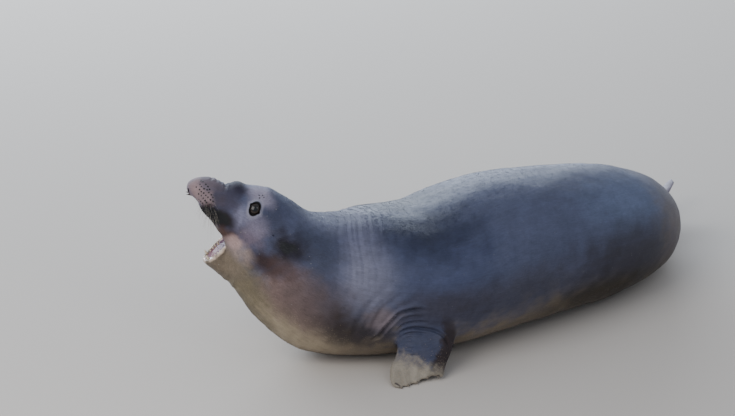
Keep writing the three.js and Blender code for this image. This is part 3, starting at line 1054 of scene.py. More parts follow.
HEAD_FOLDS = tuple(head_fold(*row) for row in (
    (2.2, 5.0, (99, 76, -30), (101, 77, 0), (99, 70, 34), (100, 56, 58)),
    (1.0, 4.0, (68, 78, -26), (70, 80, 0), (66, 72, 30)),
    (0.9, 4.0, (50, 74, -24), (52, 75, 0), (48, 68, 28)),
    (1.6, 6.0, (132, 40, 84), (118, 20, 84), (104, 6, 82), (92, -10, 80)),
    (1.6, 6.0, (186, 22, 100), (206, 12, 110), (226, 18, 115), (244, 34, 114)),
    (2.6, 6.0, (190, -62, 92), (206, -84, 98), (222, -112, 96), (236, -140, 86)),
    (1.8, 6.0, (196, -54, 96), (220, -66, 106), (246, -86, 114), (268, -112, 116)),
    (2.2, 7.0, (228, -150, 66), (232, -168, 34), (233, -174, 0)),
    (2.2, 8.0, (256, -164, 74), (262, -186, 36), (264, -192, 0)),
    (1.4, 5.0, (178, -40, 90), (196, -34, 98), (214, -40, 104)),
))


class Patch:
    """A round piece of skin with rings of its own, set in where even faces are too coarse."""

    RAY_START = 90.0

    def __init__(
        self, centre: Array, out: Array, across: Array, rings: Sequence[Sequence[float]], columns: int
    ) -> None:
        """Keeps the patch's frame and rings.

        Args:
            centre: Middle of the patch.
            out: Direction away from the body.
            across: Direction of a ring's first half width.
            rings: Two half widths and one value for the height, from the outside in.
            columns: Faces round each ring.
        """
        self.centre, self.out = centre, unit(out)
        self.x = unit(across - (across @ self.out) * self.out)
        self.y = np.cross(self.out, self.x)
        self.rings = np.array(rings, float)
        self.columns, self.behind = columns, 26.0
        self.upward = 1.0 if self.y @ HEAD.crown > 0 else -1.0

    def measures(self, points: Array) -> tuple[Array, Array, Array]:
        """Returns how far points lie across, up and out from the centre."""
        rest = points - self.centre
        return rest @ self.x, rest @ self.y, rest @ self.out

    def spread(self, ring: Array, angle: Array) -> tuple[Array, Array]:
        """Returns both measures across the patch for rings and angles."""
        return self.rings[ring, 0] * np.cos(angle), self.rings[ring, 1] * np.sin(angle)

    def height(self, ring: Array, angle: Array, flat: Array, base: Array) -> Array:
        """Returns how far out the points of the rings lie, where base is the height of the plain skin."""
        return base + self.rings[ring, 2]

    def set_in(self, skin: Shell) -> Shell:
        """Sets the patch into a skin.

        Args:
            skin: A closed shell of small faces.

        Returns:
            The closed shell with the patch in it.
        """
        u, v, w = self.measures(skin.points)
        size = self.rings[0, :2]
        inside = (np.hypot(u / size[0], v / size[1]) < 1.0) & (w > -self.behind)
        near = (np.hypot(u, v) < size.max() * 1.5) & (w > -self.behind - 12)
        local = skin.quads[near[skin.quads].all(1)]
        tree = BVHTree.FromPolygons(skin.points.tolist(), local.tolist())
        gone = inside[skin.quads].any(1)
        lost = skin.quads[gone]
        edges = np.stack([lost, np.roll(lost, -1, axis=1)], -1).reshape(-1, 2)
        known = set(map(tuple, edges.tolist()))
        after = {a: b for a, b in known if (b, a) not in known}
        hole = [min(after)]
        while after[hole[-1]] != hole[0]:
            hole.append(after[hole[-1]])
        count, rings, wide = len(skin.points), len(self.rings), self.columns
        ring, column = np.meshgrid(np.arange(rings), np.arange(wide), indexing="ij")
        angle = column * 2 * math.pi / wide
        across, up = self.spread(ring, angle)
        base = np.zeros(ring.shape)
        for i, j in np.ndindex(rings, wide):
            flat = self.centre + self.x * across[i, j] + self.y * up[i, j]
            hit = tree.ray_cast(Vector(flat + self.out * self.RAY_START), Vector(-self.out))
            base[i, j] = (np.array(hit[0]) - self.centre) @ self.out if hit[0] else base[i - 1, j]
        out = self.height(ring, angle, np.hypot(across, up), base)
        points = self.centre + self.x * across[..., None] + self.y * up[..., None] + self.out * out[..., None]
        every = np.concatenate([skin.points, points.reshape(-1, 3), points[-1].mean(0)[None]])
        a, last = np.arange(wide), (rings - 1) * wide
        fan = np.stack([last + a, last + (a + 1) % wide, np.full(wide, rings * wide)], -1)
        join = self.zipper(every, hole, list(range(count, count + wide)))
        quads = np.concatenate([skin.quads[~gone], ring_quads(rings - 1, wide) + count])
        return Shell(every, quads, np.concatenate([skin.tris, fan + count, join]))

    def zipper(self, points: Array, hole: list[int], rim: list[int]) -> Array:
        """Joins the hole's edge to the outer ring.

        Args:
            points: All vertices.
            hole: Vertices round the hole.
            rim: Vertices of the outer ring, in the same sense.

        Returns:
            The triangles between them.
        """
        start = int(np.argmin(np.linalg.norm(points[hole] - points[rim[0]], axis=1)))
        hole, rim = hole[start:] + hole[: start + 1], rim + rim[:1]
        i, j, tris = 0, 0, []
        while i < len(hole) - 1 or j < len(rim) - 1:
            step = j == len(rim) - 1
            if not step and i < len(hole) - 1:
                ahead = np.linalg.norm(points[hole[i + 1]] - points[rim[j]])
                step = ahead < np.linalg.norm(points[hole[i]] - points[rim[j + 1]])
            tris.append((hole[i], hole[i + 1] if step else rim[j + 1], rim[j]))
            i, j = (i + 1, j) if step else (i, j + 1)
        return np.array(tris)


class LidPatch(Patch):
    """The lids round an eye: they wrap the eyeball, with pointed corners and a crease above."""

    LID = 31.0
    OUTER = (
        (46, 48), (42, 45), (38, 42), (34.5, 39), (31.5, 36.5), (29, 34.4), (27, 32.6), (25.2, 31), (23.6, 29.6),
        (22.2, 28.3), (21, 27.2), (19.8, 26.2), (18.8, 25.3), (17.9, 24.5), (17.1, 23.8), (16.4, 23.1), (15.9, 22.7),
    )
    INNER = ((15.5, 22.4, 30.3), (15.3, 22.2, 29.4), (15.4, 22.3, 28.4), (15.6, 22.5, 27.2), (14, 20, 25), (8, 12, 24))

    def __init__(self, side: int) -> None:
        """Places the lids of one side, which is 1 for the left and -1 for the right."""
        rings = [(*row, 0) for row in self.OUTER] + [*self.INNER]
        super().__init__(PLAN.eye_centre(side), PLAN.eye_look(side), HEAD.forward, rings, 120)

    def corner(self, angle: Array) -> Array:
        """Returns 1 at both corners of the eye and 0 away from them."""
        return hump(np.sin(angle - 0.3 * self.upward), 0.0, 0.26)

    def spread(self, ring: Array, angle: Array) -> tuple[Array, Array]:
        """Finds both measures across, drawn out to the corners near the opening.

        Args:
            ring: Number of each point's ring.
            angle: Its angle.

        Returns:
            How far across and up the points lie.
        """
        across, up = super().spread(ring, angle)
        near = 1 - ramp(self.rings[ring, 0], 16, 34)
        more = 1 + 0.24 * near * self.corner(angle)
        top = np.where(up * self.upward > 0, 0.94, 1.03)
        return across * more, up * (1 + 0.06 * near * self.corner(angle)) * (1 + (top - 1) * near)

    def height(self, ring: Array, angle: Array, flat: Array, base: Array) -> Array:
        """Finds how far out the lids lie.

        Args:
            ring: Number of each point's ring.
            angle: Its angle.
            flat: Its distance from the axis.
            base: How far out the plain skin lies there.

        Returns:
            The new distance out.
        """
        wide, _, size = self.rings[ring].transpose(2, 0, 1)
        lid = np.sqrt(np.maximum(self.LID**2 - flat**2, 0)) - 2.5 * np.maximum(flat - self.LID, 0)
        soft = 0.5 * (base + lid + np.sqrt((base - lid) ** 2 + 5.0**2))
        upper = ramp(np.sin(angle) * self.upward, -0.1, 0.4)
        outer = base + (soft - base) * (1 - ramp(wide, 30, 45))
        outer = outer - upper * 2.3 * hump(wide, 22.4, 1.7)
        outer = outer - upper * 1.0 * hump(wide, 28.5, 2.2)
        outer = outer - (1 - upper) * 1.4 * hump(wide, 24.5, 1.8)
        ripple = 0.3 * np.sin(angle * 17 + wide * 0.4) * hump(wide, 21, 4)
        inner = np.sqrt(np.maximum(size**2 - flat**2, 16.0))
        return np.where(size > 0, inner, outer + ripple)


class PitPatch(Patch):
    """A pit in the skin, such as a nostril or the opening of an ear."""

    NOSTRIL = (
        (17.5, 12.2, 0), (16.2, 11.2, 0.1), (15, 10.2, 0.4), (13.8, 9.1, 0.9), (12.7, 8, 1.4), (11.8, 6.8, 1.6),
        (11.1, 5.9, 1.3), (10.6, 5.2, 0.6), (10.2, 4.7, -0.5), (9.9, 4.4, -2), (9.6, 4.2, -4),
        (9.2, 3.9, -7), (8, 3.2, -10), (5, 1.8, -12),
    )
    EAR = (
        (11, 9, 0), (9, 7.2, 0.1), (7.2, 5.6, 0.3), (5.6, 4.3, 0.6), (4.5, 3.3, 0.7), (3.7, 2.5, 0.4),
        (3.2, 2, -0.4), (2.8, 1.6, -1.4), (2.2, 1.2, -2.8), (1.2, 0.7, -3.8),
    )

    @classmethod
    def nostril(cls, side: int) -> "PitPatch":
        """Returns one nostril, a slit that leans outwards at its top."""
        out, tilt = HEAD.direction(0.86, -0.3, side * 0.42), HEAD.direction(0.0, 1.0, 0.3 * side)
        return cls(HEAD.point(6, 2, side * 16.5), out, tilt, cls.NOSTRIL, 56)

    @classmethod
    def ear(cls, side: int) -> "PitPatch":
        """Returns the small opening of one ear."""
        return cls(HEAD.point(292, 28, side * 139), side * HEAD.left, HEAD.forward, cls.EAR, 40)


def linear(code: str, gain: float = 1.0) -> Array:
    """Turns a hexadecimal colour into linear light.

    Args:
        code: Colour such as "7c7a89".
        gain: Factor for the light.

    Returns:
        Red, green and blue.
    """
    value = np.array([int(code[i : i + 2], 16) for i in (0, 2, 4)]) / 255
    return np.where(value <= 0.04045, value / 12.92, ((value + 0.055) / 1.055) ** 2.4) * gain


def paint(code: str, gain: float = 1.0) -> tuple[float, ...]:
    """Returns a hexadecimal colour as four numbers for a colour socket."""
    return (*linear(code, gain), 1)


@dataclass(frozen=True)
class Marking:
    """A soft, ragged patch of colour on the coat: its middle and half sizes, and how strong and soft it is."""

    colour: str
    first: float
    second: float
    half_first: float
    half_second: float
    strength: float
    soft: float

    def share(self, first: Array, second: Array, ragged: Array) -> Array:
        """Finds how much of the marking shows.

        Args:
            first: Millimetres behind the snout, or along the body.
            second: Millimetres above the head's line, or degrees round from the top.
            ragged: Noise that frays the edge.

        Returns:
            A share from 0 to 1 for each place.
        """
        gap = np.hypot((first - self.first) / self.half_first, (second - self.second) / self.half_second)
        return self.strength * (1 - ramp(gap + 0.10 * ragged, 0.9 - self.soft, 1.15 + self.soft))


BODY_MARKINGS_AND_PAINTED_LIGHT = (
    ("57596c", 540, 20, 80, 66, 0.75, 0.6), ("6f7080", 565, 74, 70, 34, 0.7, 0.6),
    # 212838 on the top of the shoulder is painted shade: it darkens the upward-facing skin.
    ("333c57", 790, 50, 150, 40, 0.6, 0.6), ("212838", 775, 26, 150, 24, 0.85, 0.7),
    # 383945 on the lower flank, 353438 and 2d2e36 below it and 2e2c26 low on the belly are painted shade under the
    # body.
    ("606d88", 1520, 42, 170, 24, 0.5, 0.7), ("383945", 776, 98, 120, 16, 0.6, 0.7),
    ("353438", 1030, 94, 260, 14, 0.5, 0.7), ("2d2e36", 1490, 92, 210, 28, 0.85, 0.6),
    # 606d88 on the rump's top is a painted bluish sheen; 645a52 at the rump's end is brownish coat colour with a
    # painted rim of sheen.
    ("2e2c26", 1410, 121, 210, 15, 0.8, 0.6), ("645a52", 1700, 64, 90, 56, 0.6, 0.7),
    ("5e574f", 300, 150, 150, 32, 0.9, 0.4), ("6b6352", 380, 154, 130, 32, 0.9, 0.4),
    ("938774", 466, 144, 95, 20, 0.95, 0.5), ("705e5b", 390, 112, 72, 18, 0.85, 0.6),
    ("5f5251", 445, 118, 80, 16, 0.75, 0.6), ("474146", 468, 102, 70, 15, 0.6, 0.7),
    # 272424 where the chest meets the fore flipper is painted shade.
    ("272424", 566, 118, 76, 14, 0.8, 0.7), ("6a6166", 620, 104, 34, 8, 0.8, 0.5),
    ("555869", 392, 8, 90, 28, 0.55, 0.7), ("333949", 402, 60, 70, 24, 0.85, 0.6),
)
HEAD_MARKINGS_AND_PAINTED_SHADE = (
    ("353a4c", 262, 78, 52, 46, 0.85, 0.6), ("2d2223", 311, -57, 54, 32, 0.9, 0.6),
    ("45393a", 375, -47, 50, 34, 0.75, 0.6), ("161821", 345, 22, 54, 38, 0.95, 0.6),
    ("6b6155", 218, -132, 50, 40, 0.9, 0.5), ("5c525e", 226, -12, 46, 30, 0.85, 0.5),
    ("8c7d77", 236, -74, 38, 24, 0.7, 0.6), ("6a6575", 226, 24, 40, 30, 0.8, 0.65),
    ("6d6d81", 176, 26, 28, 34, 0.85, 0.5), ("898392", 200, 110, 40, 25, 0.8, 0.7),
    # 262634 on the bump atop the nose is painted shade on its upward-facing skin.
    ("3a3a49", 120, 52, 36, 42, 0.95, 0.5), ("262634", 126, 98, 32, 26, 0.95, 0.5),
    ("5f565d", 36, 64, 50, 26, 0.9, 0.4), ("413d48", 84, 30, 28, 28, 0.8, 0.5),
    ("77676a", 44, 17, 36, 28, 0.95, 0.4), ("867374", 12, 24, 20, 26, 0.85, 0.5),
    ("17141b", 84, -28, 30, 18, 0.95, 0.5), ("0b0b12", 108, -20, 48, 28, 1.0, 0.35),
    ("1b1a20", 142, -12, 32, 30, 0.95, 0.45), ("2f272b", 180, -42, 24, 16, 0.85, 0.7),
    ("473734", 158, -50, 26, 20, 0.95, 0.5), ("9d8683", 200, -56, 26, 20, 0.85, 0.5),
)


@dataclass
class MarkingsAndPaintedLight:
    """All colours of the coat, painted shade and painted sheen among them, in the order in which they lie over each
    other.
    """

    gain: float = 1.30
    haze: tuple[float, float, float] = (0.008, 0.012, 0.015)
    slate: str = "454b60"
    belly: str = "71675a"
    rear: str = "544c42"
    edges: tuple[tuple[float, ...], ...] = (
        (0, 150, 300, 450, 600, 800, 1100, 1350, 1600, 1950),
        (150, 128, 116, 108, 108, 108, 98, 92, 88, 100),
        (175, 150, 138, 136, 134, 132, 122, 118, 116, 140),
    )

    def pigment(self, seen: Array) -> Array:
        """Returns the pigment that shows as a given colour under soft light, without its gloss."""
        return np.maximum(seen - np.array(self.haze), 0.25 * seen) * self.gain

    def dye(self, code: str) -> Array:
        """Returns the pigment of a hexadecimal colour."""
        return self.pigment(linear(code))

    def blend(self, tone: Array, share: Array, dye: Array, strength: float = 1.0) -> None:
        """Blends a pigment into the colours of tone, as far as share and strength say."""
        tone[:, :3] += share[:, None] * strength * (dye - tone[:, :3])

    def paint(self, points: Array) -> Array:
        """Finds the coat's colour, with its painted shade and painted sheen.

        Args:
            points: Places in the maker's millimetres.

        Returns:
            Red, green, blue and one, in linear light, for each place.
        """
        along, around = MAP.at(points)
        behind, above, _ = HEAD.coordinates(points)
        around = np.abs(around)
        ragged = wave_noise(points, 60, 5) + 0.6 * wave_noise(points, 24, 6)
        start, end = (np.interp(along, self.edges[0], degrees) for degrees in self.edges[1:])
        belly = ramp(around + 3 * ragged, start - 4, end + 6)[:, None]
        back = ramp(along, 700, 1500)[:, None]
        under = linear(self.belly) * (1 - back) + linear(self.rear) * back
        colour = linear(self.slate) * (1 - belly) + under * belly
        face = 1 - ramp(along, 400, 470)
        shares = [(row[0], Marking(*row).share(along, around, ragged)) for row in BODY_MARKINGS_AND_PAINTED_LIGHT]
        shares += [(row[0], Marking(*row).share(behind, above, ragged) * face) for row in HEAD_MARKINGS_AND_PAINTED_SHADE]
        for code, share in shares:
            colour = colour + share[:, None] * (linear(code) - colour)
        return np.concatenate([self.pigment(colour), np.ones((len(points), 1))], 1)


MARKINGS_AND_PAINTED_LIGHT = MarkingsAndPaintedLight()


@dataclass
class Skin:
    """The one closed skin that stands for all nodes of flesh."""

    plan: BodyPlan
    voxel: float = 3.0
    triangles: int = 186000
    sides: int = 144
    passes: int = 150
    quick_passes: int = 60
    quick_voxel: float = 1.5
    gullet: tuple[float, float, float] = (52, 68, 27)
    seam: float = 0.6
    root_half: float = 90.0
    fine: float = 0.02
    levels: int = 20
    thinning: float = 0.0004
    unrolled: float = 2250.0
    limb_width: float = 240.0
    lid_opening: tuple[float, float] = (15.5, 22.5)
    nostril_opening: tuple[float, float] = (10.4, 5.0)
    nodes: tuple[str, ...] = (
        "proboscis", "muzzle", "head", "lower_jaw", "neck", "throat_base", "chest", "belly", "loin", "pelvis",
        "tail", "fore_flipper_left", "fore_flipper_right", "hind_flipper_left", "hind_flipper_right",
    )

    def gullet_shell(self) -> Shell:
        """Returns the hollow at the back of the mouth."""
        centre, aim = HEAD.point(*self.plan.gullet_at), HEAD.direction(*self.plan.gullet_aim)
        return ellipsoid(centre, self.gullet, aim, HEAD.crown)

    def head_solid(self) -> Piece:
        """Makes the head with nose, whisker pads and palate, down to the plane of the jaw.

        Returns:
            The solid.
        """
        plan, grow = self.plan, -COAT_DEPTH
        outer = plan.spine.shell(0, plan.nape + 0.2, self.sides, 170, grow).piece("head_form")
        adds = [plan.proboscis.shell(0, 7, 72, 60, grow)]
        for side in SIDES:
            aim = HEAD.direction(0.92, 0.38, side * -0.28)
            pad = (60 + grow, 27 + grow, 38 + grow)
            adds.append(ellipsoid(HEAD.point(86, 4, side * 53), pad, aim, HEAD.crown))
        brow = (34 + grow, 64 + grow, 38 + grow)
        adds.append(ellipsoid(HEAD.point(140, 72), brow, HEAD.forward, HEAD.crown))
        for shell in adds:
            combined(outer, shell, Join.UNION)
        point, normal = plan.jaw_plane()
        cuts = (plan.palate.shell(0, 4, 48, 40), self.gullet_shell(), slab(point - normal * self.seam, -normal))
        for cut in cuts:
            combined(outer, cut, Join.CUT)
        return outer

    def jaw_solid(self) -> Piece:
        """Makes the lower jaw with its lip, floor and throat, up to the plane of the jaw.

        Returns:
            The solid.
        """
        plan, grow = self.plan, -COAT_DEPTH
        outer = plan.spine.shell(plan.face_at - 0.35, plan.nape + 0.2, self.sides, 90, grow).piece("jaw_form")
        lip = tube(Line(plan.lip_points()).drawn(90), np.full(90, 7.5), 14)
        for shell in (plan.jaw.shell(0, 7, 80, 60, grow), lip):
            combined(outer, shell, Join.UNION)
        point, normal = plan.jaw_plane()
        corner = slab(HEAD.point(186, 0), HEAD.forward).piece("corner")
        combined(corner, slab(HEAD.point(0, -90), -HEAD.crown), Join.CUT)
        cuts = (slab(point + normal * self.seam, normal), self.gullet_shell(), plan.mouth_floor.shell(0, 6, 48, 40))
        for cut in (corner, *cuts):
            combined(outer, cut, Join.CUT)
        return outer

    def form(self) -> Piece:
        """Makes the body as one closed mesh of even faces.

        Returns:
            The body.
        """
        plan, grow = self.plan, -COAT_DEPTH
        head, jaw = self.head_solid(), self.jaw_solid()
        trunk = plan.spine.shell(plan.nape, plan.rump_end, self.sides, 330, grow)
        rest = [trunk, plan.tail.shell(0, 4, 48, 40, grow), *(fin.shell() for fin in plan.flippers)]
        body = merged(rest).piece("skin")
        parts = [body, head, jaw]
        with bpy.context.temp_override(active_object=body, selected_editable_objects=parts, object=body):
            bpy.ops.object.join()
        remesh = body.modifiers.new("even", "REMESH")
        remesh.mode = "VOXEL"
        remesh.voxel_size = (self.voxel * 1.0) * MM
        return settled(body)

    def root_gap(self, points: Array, side: int) -> Array:
        """Finds how far points are from the root of a fore flipper.

        Args:
            points: Places in the maker's millimetres.
            side: 1 for the left flipper and -1 for the right one.

        Returns:
            Distances in millimetres.
        """
        centre, _, across, _ = self.plan.fore[side].frames(np.array([0.30, 0.30]))
        return line_distance(points, centre + across * np.array([[-self.root_half], [self.root_half]]))[0]

    def melt(self, mesh: Mesh) -> None:
        """Lets the joins between forms flow into each other.

        Args:
            mesh: The even mesh, which is changed.
        """
        points = read_points(mesh)
        table, number = neighbour_table(mesh)
        pad = table.shape[1] - number
        t, b, _ = HEAD.coordinates(points)
        hinge = line_distance(points, np.array([HEAD.point(196, -80, x) for x in (-80, 80)]))[0]
        chin = line_distance(points, np.array([HEAD.point(200, -100), HEAD.point(250, -190)]))[0]
        lips = line_distance(points, self.plan.lip_points())[0]
        weights = np.maximum(0.10, 0.95 * (1 - ramp(chin, 70, 150)) * ramp(lips, 12, 30))
        weights = np.maximum(weights, 0.25 * (1 - ramp(hinge, 20, 60)))
        weights[(t > 150) & (t < 215) & (b < -60) & (lips < 16)] = 0.12
        weights = np.where((t < 185) & (b > -60), 0.22, weights)
        saddle = self.plan.spine.points(np.full(24, 14.6), np.linspace(0.2, 3.0, 24))
        rump = np.array([[985.0, 250, 90], [1035, 345, 70]])
        joins = [(self.root_gap(points, side), 45, 105) for side in SIDES]
        joins += [(line_distance(points, saddle)[0], 60, 130), (line_distance(points, rump)[0], 70, 120)]
        for gap, near, far in joins:
            weights = np.maximum(weights, 0.9 * (1 - ramp(gap, near, far)))
        for _ in range(self.passes):
            mean = (points[table].sum(1) - points * pad[:, None]) / number[:, None]
            points += (weights * 0.6)[:, None] * (mean - points)
        points[:, 2] = np.maximum(points[:, 2], FLOOR_GAP)
        write_points(mesh, points)

    def relief(self, mesh: Mesh) -> None:
        """Works folds, creases and soft unevenness into the skin.

        Args:
            mesh: The even mesh, which is changed.
        """
        points, normals = read_points(mesh), read_normals(mesh)
        along, _ = MAP.at(points)
        height = 0.9 * wave_noise(points, 150, 1) * ramp(along, 300, 600)
        height += 0.30 * wave_noise(points, 45, 2) * ramp(along, 60, 300)
        height -= 0.4
        for fold in (*ARM_FOLDS, *CHEST_FOLDS, *HEAD_FOLDS):
            path = fold.path()
            height += fold.height(points, path)
            height += fold.height(points, MAP.mirrored(path))
        points += normals * height[:, None]
        points[:, 2] = np.maximum(points[:, 2], FLOOR_GAP)
        write_points(mesh, points)

    def thin(self, obj: Piece) -> None:
        """Merges faces where the body is plain, so that the skin keeps its count of triangles.

        Args:
            obj: The skin's object, which is changed.
        """
        points = read_points(obj.data)
        along, _ = MAP.at(points)
        t, b, _ = HEAD.coordinates(points)
        loose = 0.15 + 0.85 * ramp(along, 330, 520)
        loose *= ramp(self.plan.eye_gap(points), 52, 70)
        mouth = self.mouth_share(points)
        close = (np.hypot(t - 6, b) < 16) | (mouth > 0.01) & (mouth < 0.99)
        loose = np.where(close, self.fine, loose)
        for side in SIDES:
            loose = np.minimum(loose, 0.25 + 0.75 * ramp(self.root_gap(points, side), 120, 190))
        flippers = (points[:, 0] > 1010) & (points[:, 2] < 120)
        loose[flippers] = np.minimum(loose[flippers], 0.4)
        group = obj.vertex_groups.new(name="loose")
        levels = np.round(loose * self.levels).astype(int)
        for level in np.unique(levels):
            group.add(np.flatnonzero(levels == level).tolist(), level / self.levels, "REPLACE")
        count = int(np.sum([len(p.vertices) - 2 for p in obj.data.polygons]))
        cut = obj.modifiers.new("thin", "DECIMATE")
        cut.ratio = min(1.0, self.triangles / count)
        cut.vertex_group = group.name
        cut.vertex_group_factor = self.thinning
        cut.use_collapse_triangulate = True
        settled(obj)
        obj.vertex_groups.clear()

    def mouth_share(self, points: Array) -> Array:
        """Finds what lies inside the mouth.

        Args:
            points: Places in the maker's millimetres.

        Returns:
            1 inside the mouth and 0 outside.
        """
        t, b, left = HEAD.coordinates(points)
        near = (t > 50) & (t < 300) & (b < 0) & (b > -190) & (np.abs(left) < 90)
        some = points[near]
        share = np.zeros(len(some))
        for sweep in (self.plan.palate, self.plan.mouth_floor):
            place, angle = sweep.places(some)
            centre, slope = sweep.line.at(place)
            off = np.abs(dot(some - centre, unit(slope)))
            depth = np.linalg.norm(sweep.points(place, angle) - centre, axis=1) - np.linalg.norm(some - centre, axis=1)
            share = np.maximum(share, ramp(depth, -6.5, -1.0) * (off < 14))
        x, z = HEAD.direction(*self.plan.gullet_aim), HEAD.crown
        y = unit(np.cross(z, x))
        rest = some - HEAD.point(*self.plan.gullet_at)
        size = np.stack([rest @ x, rest @ y, rest @ np.cross(x, y)]) / (np.array(self.gullet)[:, None] + 4)
        inside = np.zeros(len(points))
        inside[near] = np.maximum(share, 1 - ramp(np.linalg.norm(size, axis=0), 0.97, 1.05))
        return inside

    def limb_places(self, points: Array, normals: Array) -> Array:
        """Finds each point's place on an unwrap of the four flippers.

        Args:
            points: Places in the maker's millimetres.
            normals: Directions out of the skin.

        Returns:
            Two measures from 0 to 1, and zero, for each point.
        """
        best, out = np.full(len(points), np.inf), np.zeros((len(points), 3))
        for number, fin in enumerate(self.plan.flippers):
            gap, share = fin.measured(points)
            centre, _, across, normal = fin.frames(share)
            side = dot(points - centre, across) / self.limb_width
            face = np.where(dot(normals, normal) > 0, 0.0, 0.5)
            nearer = gap < best
            best[nearer] = gap[nearer]
            out[nearer, 0] = (face + 0.03 + 0.44 * share)[nearer]
            out[nearer, 1] = (0.25 * number + 0.125 + 0.2 * np.clip(side, -0.5, 0.5))[nearer]
        return out

    def dye_limbs(self, points: Array, tone: Array) -> tuple[Array, Array]:
        """Colours the flippers.

        Args:
            points: Places in the maker's millimetres.
            tone: Their colours, which are changed.

        Returns:
            How far each point belongs to a flipper, and how sandy it is.
        """
        dye, blend = MARKINGS_AND_PAINTED_LIGHT.dye, MARKINGS_AND_PAINTED_LIGHT.blend
        limb, sandy = np.zeros(len(points)), np.zeros(len(points))
        noise = wave_noise(points, 34, 9) + 0.6 * wave_noise(points, 11, 10)
        for side, fin in self.plan.fore.items():
            gap, share = fin.measured(points)
            on = (1 - ramp(gap, 88, 104)) * ramp(share, 0.30, 0.42) * (points[:, 1] * side < -160)
            limb = np.maximum(limb, on)
            blend(tone, on * ramp(share, 0.3, 0.5), dye("373e52"), 0.85)
            centre, _, across, _ = fin.frames(share)
            rearward = dot(points - centre, across) * np.sign(across[:, 0])
            blend(tone, on * ramp(rearward + 5 * noise, 32, 52), dye("2b2625"), 0.85)
            frayed = share + 0.02 * noise
            sandy = np.maximum(sandy, on * ramp(frayed, 0.59, 0.80))
            blend(tone, on * ramp(frayed, 0.64, 0.84), dye("8a8377"), 0.9)
        for fin in self.plan.hind:
            gap, share = fin.measured(points)
            clear = np.maximum(ramp(points[:, 0], 965, 1005), ramp(points[:, 1], 385, 440))
            on = (1 - ramp(gap, 150, 190)) * ramp(share, 0.2, 0.45) * clear
            limb = np.maximum(limb, on)
            blend(tone, on, dye("827c85"), 0.8)
        return limb, sandy

    def dye_openings(self, points: Array, tone: Array) -> tuple[Array, Array]:
        """Colours the mouth, the lip, the lids and the nostrils, with painted shade deep in the mouth and in the
        nostrils, and a painted reflection round the lids.

        Args:
            points: Places in the maker's millimetres.
            tone: Their colours, which are changed.

        Returns:
            How far each point lies in the mouth, and on the rim of the lip.
        """
        dye, blend = MARKINGS_AND_PAINTED_LIGHT.dye, MARKINGS_AND_PAINTED_LIGHT.blend
        t, b, _ = HEAD.coordinates(points)
        mouth = self.mouth_share(points)
        # Deeper into the mouth the flesh turns from pink to dark purple: painted shade in the mouth's hollow.
        painted_depth_shade = ramp(t + 0.35 * b, 100, 150)[:, None]
        blend(tone, mouth, dye("b48e92")[None] * (1 - painted_depth_shade) + dye("6a5068") * painted_depth_shade)
        lips = line_distance(points, self.plan.lip_points())[0]
        rim = 1 - ramp(lips + 0.5 * wave_noise(points, 30, 31), 3.6, 7.0)
        blend(tone, rim, dye("c4b09e"))
        for side in SIDES:
            lid = LidPatch(side)
            u, v, w = lid.measures(points)
            wide, high = self.lid_opening
            ring = np.hypot(u / wide, v / high) / (1 + 0.2 * lid.corner(np.arctan2(v, u)))
            ring = np.where(w > -10, ring, 9.0)
            # The pale bluish ring round the lids is partly pale lid skin, partly a painted reflection on the wet lids.
            blend(tone, (1 - ramp(ring, 1.25, 1.9)) * ramp(ring, 1.0, 1.2), dye("8d8b98"), 0.6)
            blend(tone, 1 - ramp(ring, 1.08, 1.22), dye("17161b"))
            # Near black in the nostril openings is painted shade inside the pits.
            u, v, w = PitPatch.nostril(side).measures(points)
            wide, high = self.nostril_opening
            blend(tone, (1 - ramp(np.hypot(u / wide, v / high), 0.95, 1.15)) * (np.abs(w) < 30), dye("0b0a0c"))
        return mouth, rim

    def dress(self, mesh: Mesh) -> None:
        """Stores colours, the lie of the coat and other masks on the skin.

        Args:
            mesh: The finished mesh.
        """
        points, normals = read_points(mesh), read_normals(mesh)
        along, around = MAP.at(points)
        round_top = np.abs(around)
        t, b, _ = HEAD.coordinates(points)
        tone = MARKINGS_AND_PAINTED_LIGHT.paint(points)
        limb, sandy = self.dye_limbs(points, tone)
        mouth, rim = self.dye_openings(points, tone)
        keep(mesh, "tone", tone, Store.COLOUR)
        radius, turn = 95 + 125 * ramp(along, 120, 420), np.radians(around)
        lie = np.stack([along, radius * np.cos(turn), radius * np.sin(turn)], 1) * MM
        keep(mesh, "lie", lie, Store.VECTOR)
        flow = MAP.spine.line.at(MAP.spine.places(points)[0])[1]
        keep(mesh, "flow", unit(flow - dot(flow, normals)[:, None] * normals), Store.VECTOR)
        bare = np.maximum(np.maximum(mouth, rim), 1 - ramp(np.hypot(t, b), 12, 34))
        bare = np.maximum(bare, 1 - ramp(self.plan.eye_gap(points), 33, 42))
        keep(mesh, "bare", bare)
        keep(mesh, "wet", np.maximum(mouth, rim * 0.8))
        keep(mesh, "gloss", (1 - ramp(round_top, 60, 120)) * ramp(along, 420, 640))
        keep(mesh, "grit", np.maximum(0.8 * ramp(round_top, 112, 150) * ramp(along, 230, 420), sandy))
        furry = (1 - ramp(bare, 0.02, 0.3)) * (points[:, 2] >= 4)
        face, rear = 1 - ramp(along, 210, 300), ramp(along, 620, 760)
        keep(mesh, "coat_face", furry * face * ramp(along, 95, 150) * (1 - limb))
        keep(mesh, "coat_front", furry * ((1 - face) * (1 - rear)) * (1 - limb))
        keep(mesh, "coat_rear", furry * rear * (1 - limb))
        keep(mesh, "coat_limbs", limb * (1 - 0.6 * (points[:, 2] < 12)))
        half_turn = 0.5 + 0.5 * (round_top / 180) * np.sign(around)
        unwrap = np.stack([along / self.unrolled + 0.01, half_turn, np.zeros(len(points))], 1)
        keep(mesh, "unwrap", unwrap, Store.VECTOR)
        keep(mesh, "unwrap_limbs", self.limb_places(points, normals), Store.VECTOR)
        keep(mesh, "speckle", 0.25 + 0.75 * ramp(along, 90, 180) * (1 - ramp(along, 330, 520)))

